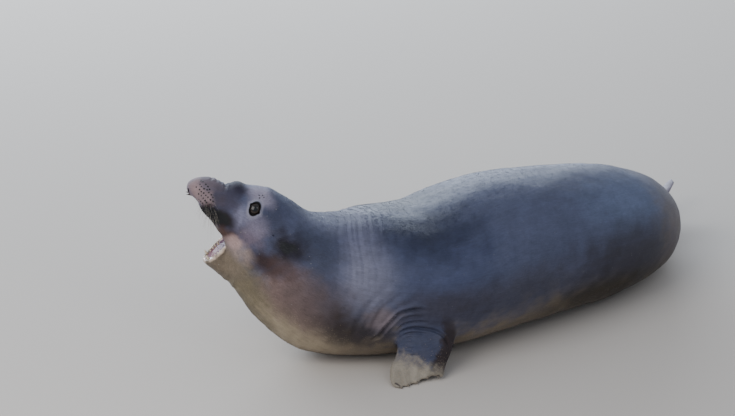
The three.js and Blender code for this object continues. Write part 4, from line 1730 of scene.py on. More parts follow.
    def build(self) -> Piece:
        """Builds the skin.

        Returns:
            Its object.
        """
        even = self.form()
        LOG.info("even skin: %d faces", len(even.data.polygons))
        self.melt(even.data)
        self.relief(even.data)
        shell = read_shell(even.data)
        remove(even)
        for side in SIDES:
            for patch in (LidPatch(side), PitPatch.nostril(side), PitPatch.ear(side)):
                shell = patch.set_in(shell)
        obj = shell.piece("skin")
        LOG.info("lids, nostrils and ears set in")
        self.thin(obj)
        obj.data.shade_smooth()
        self.dress(obj.data)
        return obj


class Graph:
    """Adds and joins the nodes of one tree."""

    def __init__(self, tree: Tree) -> None:
        """Keeps the tree."""
        self.tree = tree

    def feed(self, socket: Socket, value: object) -> None:
        """Feeds an input from another socket, or sets its value.

        Args:
            socket: The input.
            value: A socket or a plain value.
        """
        if isinstance(value, Socket):
            self.tree.links.new(value, socket)
        else:
            socket.default_value = value

    def add(self, kind: str, inputs: dict[str | int, object] | None = None, **settings: object) -> Node:
        """Adds a node.

        Args:
            kind: The node's type.
            inputs: A value or a socket for some of its inputs.
            settings: Properties of the node.

        Returns:
            The new node.
        """
        node = self.tree.nodes.new(kind)
        for name, value in settings.items():
            setattr(node, name, value)
        for key, value in (inputs or {}).items():
            self.feed(node.inputs[key], value)
        return node

    def math(self, how: str, *values: object, clamp: bool = False) -> Socket:
        """Adds a calculation with up to three numbers and returns its result."""
        return self.add("ShaderNodeMath", dict(enumerate(values)), operation=how, use_clamp=clamp).outputs[0]

    def times(self, first: object, second: object) -> Socket:
        """Returns the product of two numbers."""
        return self.math("MULTIPLY", first, second)

    def scaled(self, value: object, factor: object, base: object) -> Socket:
        """Returns a number times a factor, plus a base."""
        return self.math("MULTIPLY_ADD", value, factor, base)

    def xyz(self, *values: object) -> Socket:
        """Returns a vector of up to three numbers."""
        return self.add("ShaderNodeCombineXYZ", dict(enumerate(values))).outputs[0]

    def vector(self, how: str, first: object, second: object) -> Socket:
        """Adds a calculation with two vectors and returns its result."""
        return self.add("ShaderNodeVectorMath", {0: first, 1: second}, operation=how).outputs[0]

    def span(self, value: object, low: float, high: float) -> Socket:
        """Returns a smooth step from 0 at low to 1 at high."""
        return self.add("ShaderNodeMapRange", {0: value, 1: low, 2: high}, interpolation_type="SMOOTHSTEP").outputs[0]

    def between(self, share: object, first: object, second: object) -> Socket:
        """Returns a number between two others."""
        return self.add("ShaderNodeMix", {0: share, 2: first, 3: second}, data_type="FLOAT").outputs[0]

    def mix(self, share: object, first: object, second: object) -> Socket:
        """Blends two colours and returns the result."""
        return self.add("ShaderNodeMix", {0: share, 6: first, 7: second}, data_type="RGBA").outputs[2]

    def noise(self, place: object, scale: object, detail: float, rough: float = 0.55) -> Socket:
        """Adds a noise at a scale in one per metre and returns its value."""
        inputs = {"Vector": place, "Scale": scale, "Detail": detail, "Roughness": rough}
        return self.add("ShaderNodeTexNoise", inputs).outputs[0]

    def bright(self, colour: object, factor: object) -> Socket:
        """Returns a colour times a factor."""
        return self.vector("MULTIPLY", colour, self.xyz(factor, factor, factor))

    def attribute(self, name: str, output: str = "Fac") -> Socket:
        """Returns a value kept on the mesh, for shaders."""
        return self.add("ShaderNodeAttribute", attribute_name=name).outputs[output]

    def point(self) -> Socket:
        """Returns the place on the piece, in metres."""
        return self.add("ShaderNodeTexCoord").outputs["Object"]

    def bump(self, strength: float, distance: float, height: Socket) -> Socket:
        """Returns a normal that follows a height, where distance is in metres."""
        return self.add("ShaderNodeBump", {"Strength": strength, "Distance": distance, "Height": height}).outputs[0]


ORIGIN = (0.0, 0.0, 0.0)


class Effects:
    """Shader effects that several materials share, each built once."""

    def __init__(self) -> None:
        """Builds all effects."""
        self.grain = self.grain_tree()
        self.mottle = self.mottle_tree()
        self.flecks = self.flecks_tree()
        self.grit = self.grit_tree()
        self.creases = self.creases_tree()

    def started(self, name: str, inputs: dict[str, object], *outputs: str) -> tuple[Graph, Sequence[Socket], Node]:
        """Starts a group with named sockets.

        Args:
            name: The group's name.
            inputs: Name and default of each input; a tuple makes a vector.
            outputs: Name of each output, all of them numbers.

        Returns:
            The group's graph, the sockets it is given and its output node.
        """
        tree = bpy.data.node_groups.new(name, "ShaderNodeTree")
        for label, value in inputs.items():
            kind = "NodeSocketVector" if isinstance(value, tuple) else "NodeSocketFloat"
            tree.interface.new_socket(label, in_out="INPUT", socket_type=kind).default_value = value
        for label in outputs:
            tree.interface.new_socket(label, in_out="OUTPUT", socket_type="NodeSocketFloat")
        graph = Graph(tree)
        return graph, graph.add("NodeGroupInput").outputs, graph.add("NodeGroupOutput")

    def ended(self, graph: Graph, end: Node, *values: Socket) -> Tree:
        """Ends a group.

        Args:
            graph: The group's graph.
            end: Its output node.
            values: What the outputs give, in order.

        Returns:
            The group's tree.
        """
        for number, value in enumerate(values):
            graph.feed(end.inputs[number], value)
        return graph.tree

    def place(self, graph: Graph, tree: Tree, **inputs: object) -> Node:
        """Places an effect in a material's graph and returns its node."""
        return graph.add("ShaderNodeGroup", inputs, node_tree=tree)

    def grain_tree(self) -> Tree:
        """Builds the streaks of short hair that follow the lie of the coat.

        Returns:
            The group's tree.
        """
        sizes = {"Lie": ORIGIN, "Length": 0.022, "Width": 0.0030}
        g, (lie, length, width, *_), end = self.started("hair grain", sizes, "Shade", "Height", "Broad")
        along, wide = g.math("DIVIDE", 1.0, length), g.math("DIVIDE", 1.0, width)
        warp = g.noise(lie, 14.0, 2.0)
        bent = g.vector("ADD", lie, g.xyz(0.0, g.times(warp, 0.02), g.times(warp, 0.014)))
        bent = g.vector("MULTIPLY", bent, g.xyz(along, wide, wide))
        fine, thin, broad = g.noise(bent, 1.0, 3.0, 0.6), g.noise(bent, 2.6, 2.0, 0.6), g.noise(bent, 0.22, 3.0, 0.5)
        shade = g.scaled(fine, 0.55, g.times(thin, 0.45))
        return self.ended(g, end, g.span(shade, 0.3, 0.7), shade, g.span(broad, 0.3, 0.7))

    def mottle_tree(self) -> Tree:
        """Builds soft blotches.

        Returns:
            The group's tree.
        """
        g, (point, size, *_), end = self.started("mottle", {"Point": ORIGIN, "Size": 0.05}, "Blotch", "Small")
        scale = g.math("DIVIDE", 1.0, size)
        wide, small = g.noise(point, scale, 4.0, 0.6), g.noise(point, g.times(scale, 5.0), 3.0, 0.6)
        return self.ended(g, end, g.span(wide, 0.32, 0.68), g.span(small, 0.3, 0.7))

    def flecks_tree(self) -> Tree:
        """Builds small pale specks, strewn unevenly.

        Returns:
            The group's tree.
        """
        sizes = {"Point": ORIGIN, "Share": 0.3, "Size": 0.011}
        g, (point, share, size, *_), end = self.started("flecks", sizes, "Mask")
        cell = g.add("ShaderNodeTexVoronoi", {"Vector": point, "Scale": g.math("DIVIDE", 1.0, size)})
        pick = g.add("ShaderNodeSeparateColor", {0: cell.outputs["Color"]})
        radius = g.scaled(pick.outputs[1], 0.22, 0.04)
        speck = g.math("SUBTRACT", 1.0, g.math("DIVIDE", cell.outputs["Distance"], radius), clamp=True)
        here = g.math("LESS_THAN", pick.outputs[0], share)
        patchy = g.span(g.noise(point, 16.0, 2.0), 0.42, 0.62)
        return self.ended(g, end, g.times(g.times(g.span(speck, 0.0, 0.5), here), patchy))

    def grit_tree(self) -> Tree:
        """Builds grains of sand that cling to the coat.

        Returns:
            The group's tree.
        """
        sizes = {"Point": ORIGIN, "Amount": 0.5}
        g, (point, amount, *_), end = self.started("clinging sand", sizes, "Mask", "Height", "Tint")
        cell = g.add("ShaderNodeTexVoronoi", {"Vector": point, "Scale": 420.0})
        pick = g.add("ShaderNodeSeparateColor", {0: cell.outputs["Color"]})
        patches = g.span(g.noise(point, 22.0, 4.0, 0.65), 0.40, 0.66)
        here = g.math("LESS_THAN", pick.outputs[0], g.times(amount, g.scaled(patches, 0.85, 0.1)))
        mask = g.times(g.span(cell.outputs["Distance"], 0.55, 0.2), here)
        return self.ended(g, end, mask, mask, pick.outputs[2])

    def creases_tree(self) -> Tree:
        """Builds the net of fine creases of bare skin.

        Returns:
            The group's tree.
        """
        g, (point, size, *_), end = self.started("fine creases", {"Point": ORIGIN, "Size": 0.006}, "Height")
        scale = g.math("DIVIDE", 1.0, size)
        warp = g.add("ShaderNodeTexNoise", {"Vector": point, "Scale": 60.0, "Detail": 2.0}).outputs[1]
        place = g.vector("ADD", point, g.vector("MULTIPLY", warp, (0.006, 0.006, 0.006)))
        cell = g.add("ShaderNodeTexVoronoi", {"Vector": place, "Scale": scale}, feature="DISTANCE_TO_EDGE")
        fine = g.noise(place, g.times(scale, 3.0), 2.0)
        return self.ended(g, end, g.scaled(g.span(cell.outputs[0], 0.0, 0.16), 0.75, g.times(fine, 0.25)))


EFFECTS = Effects()
FUR_SHEEN = {
    "Sheen_Weight": 0.06, "Sheen_Roughness": 0.35, "Sheen_Tint": (0.62, 0.74, 1.0, 1.0), "Specular_IOR_Level": 0.42,
}


def new_material(name: str) -> tuple[Material, Graph, Node]:
    """Starts a material.

    Args:
        name: The material's name.

    Returns:
        The material, its graph and its Principled shader.
    """
    material = bpy.data.materials.new(name)
    material.use_nodes = True
    return material, Graph(material.node_tree), material.node_tree.nodes["Principled BSDF"]


def connect(graph: Graph, shader: Node, **values: object) -> None:
    """Feeds or sets the shader's sockets, which are named with underlines for spaces."""
    for name, value in values.items():
        graph.feed(shader.inputs[name.replace("_", " ")], value)


@dataclass(frozen=True)
class HideFinish:
    """The short damp fur of the skin, with bare wet lips and mouth."""

    sand: str = "a8957f"
    fleck: str = "a5a09c"

    def material(self) -> Material:
        """Builds the material.

        Returns:
            The material.
        """
        material, g, shader = new_material("short_damp_fur")
        point, tone = g.point(), g.attribute("tone", "Color")
        bare, wet, speckle = (g.attribute(name) for name in ("bare", "wet", "speckle"))
        hair = EFFECTS.place(g, EFFECTS.grain, Lie=g.attribute("lie", "Vector"), Length=0.026, Width=0.0034)
        mottle = EFFECTS.place(g, EFFECTS.mottle, Point=point, Size=0.07)
        flecks = EFFECTS.place(g, EFFECTS.flecks, Point=point, Share=0.34, Size=0.012)
        grit = EFFECTS.place(g, EFFECTS.grit, Point=point, Amount=g.attribute("grit"))
        creases = EFFECTS.place(g, EFFECTS.creases, Point=point, Size=0.0055)
        furry = g.math("SUBTRACT", 1.0, bare, clamp=True)
        shade = g.scaled(g.math("SUBTRACT", hair.outputs["Shade"], 0.5), g.scaled(speckle, 0.26, 0.20), 1.0)
        streaks = g.between(furry, 1.0, g.times(shade, g.scaled(hair.outputs["Broad"], 0.14, 0.93)))
        blotch = g.scaled(mottle.outputs["Blotch"], 0.16, 0.92)
        small = g.scaled(mottle.outputs["Small"], 0.10, 0.95)
        colour = g.bright(tone, g.times(g.times(blotch, small), streaks))
        fleck = g.times(flecks.outputs[0], g.times(furry, speckle))
        colour = g.mix(g.times(fleck, 0.5), colour, paint(self.fleck))
        sand = g.mix(grit.outputs["Tint"], paint(self.sand, 0.7), paint(self.sand, 1.15))
        colour = g.mix(g.times(grit.outputs["Mask"], 0.7), colour, sand)
        rough = g.scaled(hair.outputs["Broad"], 0.08, g.scaled(g.attribute("gloss"), -0.24, 0.72))
        net = g.math("SUBTRACT", g.scaled(bare, 0.45, 0.15), g.times(wet, 0.42))
        height = g.scaled(hair.outputs["Height"], furry, g.times(creases.outputs[0], net))
        height = g.scaled(grit.outputs["Height"], 0.8, height)
        connect(
            g, shader, Base_Color=colour, Roughness=g.between(wet, rough, 0.24), Normal=g.bump(0.55, 0.0012, height),
            Coat_Weight=g.times(wet, 0.7), Coat_Roughness=0.12, **FUR_SHEEN,
        )
        return material


@dataclass(frozen=True)
class TuftFinish:
    """The tufts of short hair, in the colours of the skin below them."""

    name: str

    def material(self) -> Material:
        """Builds the material.

        Returns:
            The material.
        """
        material, g, shader = new_material(self.name)
        point = g.point()
        mottle = EFFECTS.place(g, EFFECTS.mottle, Point=point, Size=0.07)
        tint, tip = g.scaled(g.attribute("tint"), 0.20, 0.94), g.scaled(g.attribute("tip"), 0.12, 0.95)
        blotch = g.scaled(mottle.outputs["Blotch"], 0.16, 0.92)
        colour = g.bright(g.attribute("tone", "Color"), g.times(g.times(tint, tip), blotch))
        connect(
            g, shader, Base_Color=colour, Roughness=g.scaled(mottle.outputs["Small"], 0.12, 0.50),
            Normal=g.bump(0.2, 0.0003, g.noise(point, 1800.0, 2.0)), **FUR_SHEEN,
        )
        return material


class Relief(Enum):
    """Kinds of fine relief on small parts."""

    NONE = 0
    SPOTS = 1
    LINES = 2
    CREASES = 3

    def height(self, g: Graph, mottle: Node) -> Socket:
        """Builds the height of the relief.

        Args:
            g: The material's graph.
            mottle: Its blotches.

        Returns:
            The height.
        """
        if self is Relief.LINES:
            return g.math("SINE", g.times(g.attribute("turn"), 24.0))
        if self is Relief.CREASES:
            net = EFFECTS.place(g, EFFECTS.creases, Point=g.point(), Size=0.0028)
            return g.scaled(mottle.outputs["Small"], 0.6, net.outputs[0])
        return mottle.outputs["Small"]


@dataclass(frozen=True)
class PartFinish:
    """Horn, tooth or wet flesh: a colour that fades from one end to the other, with blotches and fine relief."""

    name: str
    first: str
    last: str
    fade: tuple[float, float]
    size: float
    rough: tuple[str, float, float]
    blotch: tuple[float, float] | None = None
    frayed: float = 0.0
    relief: Relief = Relief.NONE
    bump: tuple[float, float] = (0.4, 0.0004)
    coat: tuple[float, float] = (0.0, 0.03)
    skin_from: float | None = None

    def material(self) -> Material:
        """Builds the material.

        Returns:
            The material.
        """
        material, g, shader = new_material(self.name)
        mottle = EFFECTS.place(g, EFFECTS.mottle, Point=g.point(), Size=self.size)
        share = g.attribute("share")
        edge = g.scaled(mottle.outputs["Small"], self.frayed, share)
        colour = g.mix(g.span(edge, *self.fade), paint(self.first), paint(self.last))
        if self.blotch:
            colour = g.bright(colour, g.scaled(mottle.outputs["Blotch"], *self.blotch))
        if self.skin_from is not None:
            colour = g.mix(g.span(share, self.skin_from, 1.0), colour, g.attribute("tone", "Color"))
        if self.relief is not Relief.NONE:
            connect(g, shader, Normal=g.bump(*self.bump, self.relief.height(g, mottle)))
        output, factor, base = self.rough
        rough = g.scaled(mottle.outputs[output], factor, base)
        connect(g, shader, Base_Color=colour, Roughness=rough, Coat_Weight=self.coat[0], Coat_Roughness=self.coat[1])
        return material


CLAW_HORN = PartFinish(
    "dark_horn", "453d38", "85786a", (0.35, 1.0), 0.012, ("Small", 0.25, 0.3), (0.5, 0.7), relief=Relief.LINES,
)
IVORY = PartFinish(
    "ivory", "8d6f4d", "e0d3b8", (0.42, 0.85), 0.008, ("Blotch", 0.12, 0.22), (0.2, 0.88), 0.25, Relief.SPOTS,
    (0.25, 0.0003), (0.4, 0.03),
)
# The tongue darkens from pink at its tip to dark purple at its back: painted shade inside the mouth.
TONGUE_FLESH_AND_SHADE = PartFinish(
    "wet_tongue", "a9838a", "6d4c62", (0.9, 0.2), 0.02, ("Small", 0.15, 0.42), (0.3, 0.82), 0.0, Relief.CREASES,
    (0.6, 0.0009), (0.12, 0.3),
)
WHISKER_HORN = PartFinish(
    "whisker_horn", "4d443c", "a59b8d", (0.0, 0.35), 0.02, ("Small", 0.2, 0.35), (0.3, 0.8),
)
MOUND_SKIN = PartFinish(
    "whisker_mound", "060607", "17151a", (0.55, 1.0), 0.006, ("Blotch", 0.2, 0.42), None, 0.2, Relief.SPOTS,
    skin_from=0.82,
)


@dataclass(frozen=True)
class EyeFinish:
    """The eyeball: a black pupil, a dark brown iris with fine spokes and a dusky white."""

    iris: str = "17110e"
    iris_light: str = "2a1f18"
    white: str = "2e2b2b"
    ring: tuple[float, ...] = (0.004, 0.004, 0.005, 1)
    pupil: tuple[float, ...] = (0.0015, 0.0015, 0.002, 1)

    def material(self) -> Material:
        """Builds the material.

        Returns:
            The material.
        """
        material, g, shader = new_material("wet_eye")
        radial, turn = g.attribute("radial"), g.attribute("turn")
        around = g.xyz(g.math("COSINE", turn), g.math("SINE", turn), radial)
        spokes = g.noise(g.vector("MULTIPLY", around, (14.0, 14.0, 1.2)), 1.0, 3.0)
        veins = g.noise(g.vector("MULTIPLY", around, (6.0, 6.0, 8.0)), 1.0, 4.0)
        iris = g.mix(g.span(spokes, 0.35, 0.65), paint(self.iris), paint(self.iris_light))
        iris = g.mix(g.span(radial, 0.56, 0.64), iris, self.ring)
        white = g.bright(tuple(linear(self.white)), g.scaled(veins, 0.5, 0.7))
        colour = g.mix(g.span(radial, 0.63, 0.70), iris, white)
        colour = g.mix(g.span(radial, 0.33, 0.28), colour, self.pupil)
        outer = g.span(radial, 0.6, 0.8)
        connect(
            g, shader, Base_Color=colour, Roughness=g.scaled(outer, 0.12, 0.08), Coat_Weight=1.0, Coat_Roughness=0.02,
            Normal=g.bump(0.15, 0.0004, g.times(veins, outer)), Coat_IOR=1.36, Specular_IOR_Level=0.2,
        )
        return material


class Growth(Graph):
    """A tree of Geometry Nodes with named inputs."""

    KINDS = {float: "NodeSocketFloat", int: "NodeSocketInt", str: "NodeSocketString"}

    def __init__(self, name: str, values: dict[str, float | int | str]) -> None:
        """Starts the tree.

        Args:
            name: The tree's name.
            values: Name and value of each input.
        """
        super().__init__(bpy.data.node_groups.new(name, "GeometryNodeTree"))
        for way in ("INPUT", "OUTPUT"):
            self.tree.interface.new_socket("Geometry", in_out=way, socket_type="NodeSocketGeometry")
        self.values = values
        for label, value in values.items():
            self.tree.interface.new_socket(label, in_out="INPUT", socket_type=self.KINDS[type(value)])
        self.start, self.end = self.add("NodeGroupInput"), self.add("NodeGroupOutput")

    def given(self, label: str) -> Socket:
        """Returns a named input."""
        return self.start.outputs[label]

    def stored(self, name: object, kind: str = "FLOAT") -> Socket:
        """Returns a value kept on the mesh."""
        return self.add("GeometryNodeInputNamedAttribute", {"Name": name}, data_type=kind).outputs["Attribute"]

    def random(self, low: object, high: object, seed: int) -> Socket:
        """Adds a random number for each element.

        Args:
            low: Its least value.
            high: Its greatest value.
            seed: Seed of the draw.

        Returns:
            The number.
        """
        node = self.add("FunctionNodeRandomValue", {"Seed": seed}, data_type="FLOAT")
        shown = [s for s in node.inputs if s.enabled]
        self.feed(shown[0], low)
        self.feed(shown[1], high)
        return next(s for s in node.outputs if s.enabled)

    def store(self, geometry: Socket, name: str, value: object, kind: str = "FLOAT", domain: str = "POINT") -> Socket:
        """Keeps a value on the mesh.

        Args:
            geometry: The mesh.
            name: The attribute's name.
            value: The value or its socket.
            kind: The attribute's type.
            domain: What carries it.

        Returns:
            The mesh with the value.
        """
        settings = {"data_type": kind, "domain": domain}
        node = self.add("GeometryNodeStoreNamedAttribute", {"Geometry": geometry, "Name": name}, **settings)
        self.feed(next(s for s in node.inputs if s.enabled and s.name == "Value"), value)
        return node.outputs[0]

    def real(self, instances: Socket) -> Socket:
        """Makes instances real and returns the geometry."""
        return self.add("GeometryNodeRealizeInstances", {0: instances}).outputs[0]

    def finish(self, geometry: Socket, material: Material) -> None:
        """Ends the tree.

        Args:
            geometry: What the tree has made.
            material: The material that it gets.
        """
        self.material = material
        dressed = self.add("GeometryNodeSetMaterial", {"Geometry": geometry, "Material": material})
        self.feed(self.end.inputs[0], dressed.outputs[0])

    def grow(self, name: str, mesh: Mesh, keep_names: Sequence[str]) -> Piece:
        """Runs the tree on a mesh.

        Args:
            name: Name of the new piece.
            mesh: The mesh to grow on, which stays as it is.
            keep_names: Attributes that the piece keeps.

        Returns:
            The piece as a plain mesh.
        """
        obj = new_object(name, mesh.copy())
        modifier = obj.modifiers.new("grow", "NODES")
        modifier.node_group = self.tree
        for item in self.tree.interface.items_tree:
            if item.item_type == "SOCKET" and item.in_out == "INPUT" and item.name in self.values:
                modifier[item.identifier] = self.values[item.name]
        settled(obj)
        obj.data.materials.clear()
        obj.data.materials.append(self.material)
        kept = (*keep_names, "position", "sharp_face")
        for old in [a.name for a in obj.data.attributes if not a.is_internal and not a.is_required]:
            if old not in kept:
                obj.data.attributes.remove(obj.data.attributes[old])
        return obj


def marked(obj: Piece, material: Material | None = None, smooth: bool = True) -> Piece:
    """Finishes a piece.

    Args:
        obj: The piece.
        material: Its material, where it has none yet.
        smooth: Whether its faces are shaded smoothly.

    Returns:
        The same piece.
    """
    if material:
        obj.data.materials.clear()
        obj.data.materials.append(material)
    if smooth:
        obj.data.shade_smooth()
    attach(obj, "root")
    LOG.info("%s: %d faces", obj.name, len(obj.data.polygons))
    return obj


@dataclass(frozen=True)
class Coat:
    """Tufts of short hair over one part of the skin, with sizes in metres."""

    name: str
    slot: str
    density: float
    length: float
    width: float
    lift: float
    spread: float
    seed: int
    unwrap: str = "unwrap"
    sunk: float = 2e-4
    patch: float = 0.003

    def tree(self) -> Growth:
        """Builds the tree that sows the tufts.

        Returns:
            The tree.
        """
        sizes = {"Density": self.density, "Length": self.length, "Width": self.width, "Lift": self.lift}
        g = Growth(self.name, {"Region": self.name, "Unwrap": self.unwrap, **sizes, "Spread": self.spread})
        density = g.times(g.math("MAXIMUM", g.stored(g.given("Region")), 0.0), g.given("Density"))
        mesh = {"Mesh": g.start.outputs[0], "Seed": self.seed}
        sown = g.add("GeometryNodeDistributePointsOnFaces", mesh, distribute_method="RANDOM")
        g.feed(next(s for s in sown.inputs if s.enabled and s.name == "Density"), density)
        points = g.store(sown.outputs["Points"], "tint", g.random(0.0, 1.0, self.seed + 1))
        side = g.random(g.times(g.given("Spread"), -1.0), g.given("Spread"), self.seed + 2)
        flow, normal = g.stored("flow", "FLOAT_VECTOR"), sown.outputs["Normal"]
        aim = g.vector("ADD", flow, g.bright(g.vector("CROSS_PRODUCT", normal, flow), side))
        turn = g.add("FunctionNodeAxesToRotation", {0: normal, 1: aim}, primary_axis="Z", secondary_axis="X")
        lift = g.random(g.times(g.given("Lift"), 0.3), g.given("Lift"), self.seed + 3)
        tilt = g.add("FunctionNodeEulerToRotation", {0: g.xyz(0.0, g.times(lift, -1.0))}).outputs[0]
        turn = g.add("FunctionNodeRotateRotation", {0: turn.outputs[0], 1: tilt}, rotation_space="LOCAL")
        grown = g.random(0.7, 1.3, self.seed + 4)
        width = g.given("Width")
        size = g.xyz(g.times(g.given("Length"), grown), g.times(width, grown), g.times(width, 0.5))
        counts = {"Vertices": 3, "Side Segments": 1, "Fill Segments": 1}
        cone = {**counts, "Radius Top": 0.0, "Radius Bottom": 0.5, "Depth": 1.0}
        tuft = g.add("GeometryNodeMeshCone", cone, fill_type="TRIANGLE_FAN").outputs["Mesh"]
        lying = {"Geometry": tuft, "Rotation": (0.0, math.pi / 2, 0.0)}
        tuft = g.add("GeometryNodeTransform", lying).outputs[0]
        place = g.add("GeometryNodeInputPosition").outputs[0]
        spot = g.vector("MULTIPLY", place, (self.patch, self.patch, 0.0))
        tuft = g.store(tuft, "patch", spot, "FLOAT_VECTOR")
        tuft = g.store(tuft, "tip", g.add("ShaderNodeSeparateXYZ", {0: place}).outputs[0])
        inward = g.vector("MULTIPLY", normal, (-self.sunk,) * 3)
        sunk = g.add("GeometryNodeSetPosition", {"Geometry": points, "Offset": inward}).outputs[0]
        tufts = {"Points": sunk, "Instance": tuft, "Rotation": turn.outputs[0], "Scale": size}
        real = g.real(g.add("GeometryNodeInstanceOnPoints", tufts).outputs[0])
        spot = g.vector("ADD", g.stored(g.given("Unwrap"), "FLOAT_VECTOR"), g.stored("patch", "FLOAT_VECTOR"))
        g.finish(g.store(real, "OFBake", spot, "FLOAT2", "CORNER"), TuftFinish(self.name + "_hair").material())
        return g

    def build(self, skin: Piece) -> Piece:
        """Sows the tufts on the skin and returns them as one piece."""
        obj = self.tree().grow(self.name, skin.data, ("tone", "tint", "tip", "OFBake"))
        return marked(obj, smooth=False)


COATS = (
    Coat("coat_face", "face_coat", 100000, 0.0046, 0.0009, 0.10, 0.25, 11),
    Coat("coat_front", "throat_coat", 44000, 0.0105, 0.0015, 0.07, 0.20, 21),
    Coat("coat_rear", "back_coat", 19500, 0.0110, 0.0016, 0.055, 0.14, 31),
    Coat("coat_limbs", "flipper_coat", 40000, 0.0060, 0.0012, 0.09, 0.25, 41, "unwrap_limbs"),
)


@dataclass
class Eyeball:
    """One eyeball with a slightly raised cornea."""

    plan: BodyPlan
    side: int
    radius: float = 28.0
    cornea: float = 1.3
    columns: int = 96
    rows: int = 72

    def build(self) -> Piece:
        """Builds the eyeball, which stands for its solid node.

        Returns:
            The piece.
        """
        name = "left" if self.side > 0 else "right"
        look, centre = self.plan.eye_look(self.side), self.plan.eye_centre(self.side)
        level = HEAD.forward - (HEAD.forward @ look) * look
        ball = ellipsoid(centre, (self.radius,) * 3, level, look, self.columns, self.rows)
        rest = unit(ball.points - centre)
        angle = np.arccos(np.clip(rest @ look, -1, 1))
        ball.points = centre + rest * (self.radius + self.cornea * (1 - ramp(angle, 0.30, 0.72)))[:, None]
        obj = ball.piece("eyeball_" + name)
        x = unit(level)
        keep(obj.data, "radial", angle)
        keep(obj.data, "turn", np.arctan2(rest @ np.cross(look, x), rest @ x))
        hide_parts("eye_" + name)
        return marked(obj, EyeFinish().material())


@dataclass
class Tongue:
    """The tongue, with a groove along its middle and a soft uneven back."""

    plan: BodyPlan
    groove: float = 3.5
    gap: float = 0.4

    def build(self) -> Piece:
        """Builds the tongue, which stands for its solid node.

        Returns:
            The piece.
        """
        sweep = self.plan.tongue
        shell = sweep.shell(0, 4, 72, 80, -self.gap)
        place, angle = sweep.places(shell.points)
        _, _, left = HEAD.coordinates(shell.points)
        drop = self.groove * hump(left, 0.0, 7) + 0.6 * wave_noise(shell.points, 16, 71)
        drop = ramp(np.sin(angle), 0.1, 0.8) * np.maximum(drop, -0.2)
        shell.points = shell.points - self.plan.mouth_out * drop[:, None]
        obj = shell.piece("tongue_wet")
        keep(obj.data, "share", place / sweep.last)
        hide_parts("tongue")
        return marked(obj, TONGUE_FLESH_AND_SHADE.material())


@dataclass(frozen=True)
class Spike:
    """A tooth or claw: seat, direction, radius, length and how far its tip bends."""

    root: Array
    aim: Array
    radius: float
    length: float
    bend: Array

    def shell(self, sides: int, rings: int) -> Shell:
        """Makes the tapered and bent cone.

        Args:
            sides: Faces round it.
            rings: Sections along it.

        Returns:
            The closed shell.
        """
        share = np.linspace(0, 1, rings)
        line = self.root + self.aim * (share * self.length)[:, None] + self.bend * (share**2)[:, None]
        return tube(line, self.radius * (1 - 0.25 * share) * np.sqrt(np.maximum(1 - share**2.2, 0.004)), sides)


def spikes_piece(name: str, spikes: Sequence[Spike], rings: int, sides: int = 14) -> Piece:
    """Joins teeth or claws to one piece that knows its share from root to tip.

    Args:
        name: Name of the piece.
        spikes: The teeth or claws.
        rings: Sections along each.
        sides: Faces round each.

    Returns:
        The piece.
    """
    shell = merged([s.shell(sides, rings) for s in spikes])
    shares = np.append(np.repeat(np.linspace(0, 1, rings), sides), (0, 1))
    turns = np.append(np.tile(np.arange(sides) * 2 * math.pi / sides, rings), (0, 0))
    shell.points[:, 2] = np.maximum(shell.points[:, 2], 0.2)
    obj = shell.piece(name)
    keep(obj.data, "share", np.tile(shares, len(spikes)))
    keep(obj.data, "turn", np.tile(turns, len(spikes)))
    return obj


@dataclass
class Teeth:
    """The teeth that show: canines, incisors and small pegs."""

    plan: BodyPlan
    lower_rows: tuple[tuple[float, ...], ...] = (
        (5.2, 12, 6.0, 30), (6.0, 14, 3.0, 20), (4.4, 11, 4.0, 20), (3.7, 11, 4.0, 20), (3.0, 11, 4.0, 20),
        (2.2, 11, 4.0, 20),
    )

    def upper(self) -> list[Spike]:
        """Places the teeth of the upper jaw.

        Returns:
            The teeth.
        """
        out = []
        back, down = HEAD.direction(-1, 0), HEAD.direction(0.1, -1)
        for side in SIDES:
            aim = HEAD.direction(0.2, -1, side * -0.08)
            out.append(Spike(HEAD.point(86, 2, side * 26), aim, 6.2, 38, back * 4))
            out.append(Spike(HEAD.point(68, 4, side * 9), HEAD.direction(0.25, -1), 3.6, 22, back * 2))
            for i in range(3):
                root = HEAD.point(108 + i * 20, -17 - i * 8, side * (35 + i * 4))
                out.append(Spike(root, down, 4.2, 25, back * 1.5))
        return out

    def lower(self) -> list[Spike]:
        """Places the teeth of the lower jaw.

        Returns:
            The teeth.
        """
        up, back = self.plan.mouth_out, HEAD.direction(-0.4, 0.9)
        out = []
        for side in SIDES:
            angle = 0.3 if side > 0 else math.pi - 0.3
            for s, inward, radius, length in self.lower_rows:
                edge = self.plan.jaw.points(np.array([s]), np.array([angle]))[0]
                out.append(Spike(edge + HEAD.left * (side * inward) - up * 12, up, radius, length, back * 2))
        return out

    def build(self) -> Piece:
        """Builds all teeth as one piece."""
        return marked(spikes_piece("teeth", self.upper() + self.lower(), 16), IVORY.material())


@dataclass
class Claws:
    """The claws of one fore flipper."""

    plan: BodyPlan
    side: int
    radius: float = 4.9
    longest: float = 30.0
    sunk: float = 9.0
    droop: float = 3.0

    def build(self) -> Piece:
        """Builds the five claws as one piece.

        Returns:
            The piece.
        """
        fin, spikes = self.plan.fore[self.side], []
        for place, length in zip(fin.places, fin.lengths):
            root, aim = fin.claw_seat(place, 0.9)
            root = root - aim * self.sunk
            spikes.append(Spike(root, aim, self.radius, self.longest * length, -self.droop * WORLD_UP))
        name = "claws_left" if self.side > 0 else "claws_right"
        return marked(spikes_piece(name, spikes, 18), CLAW_HORN.material())


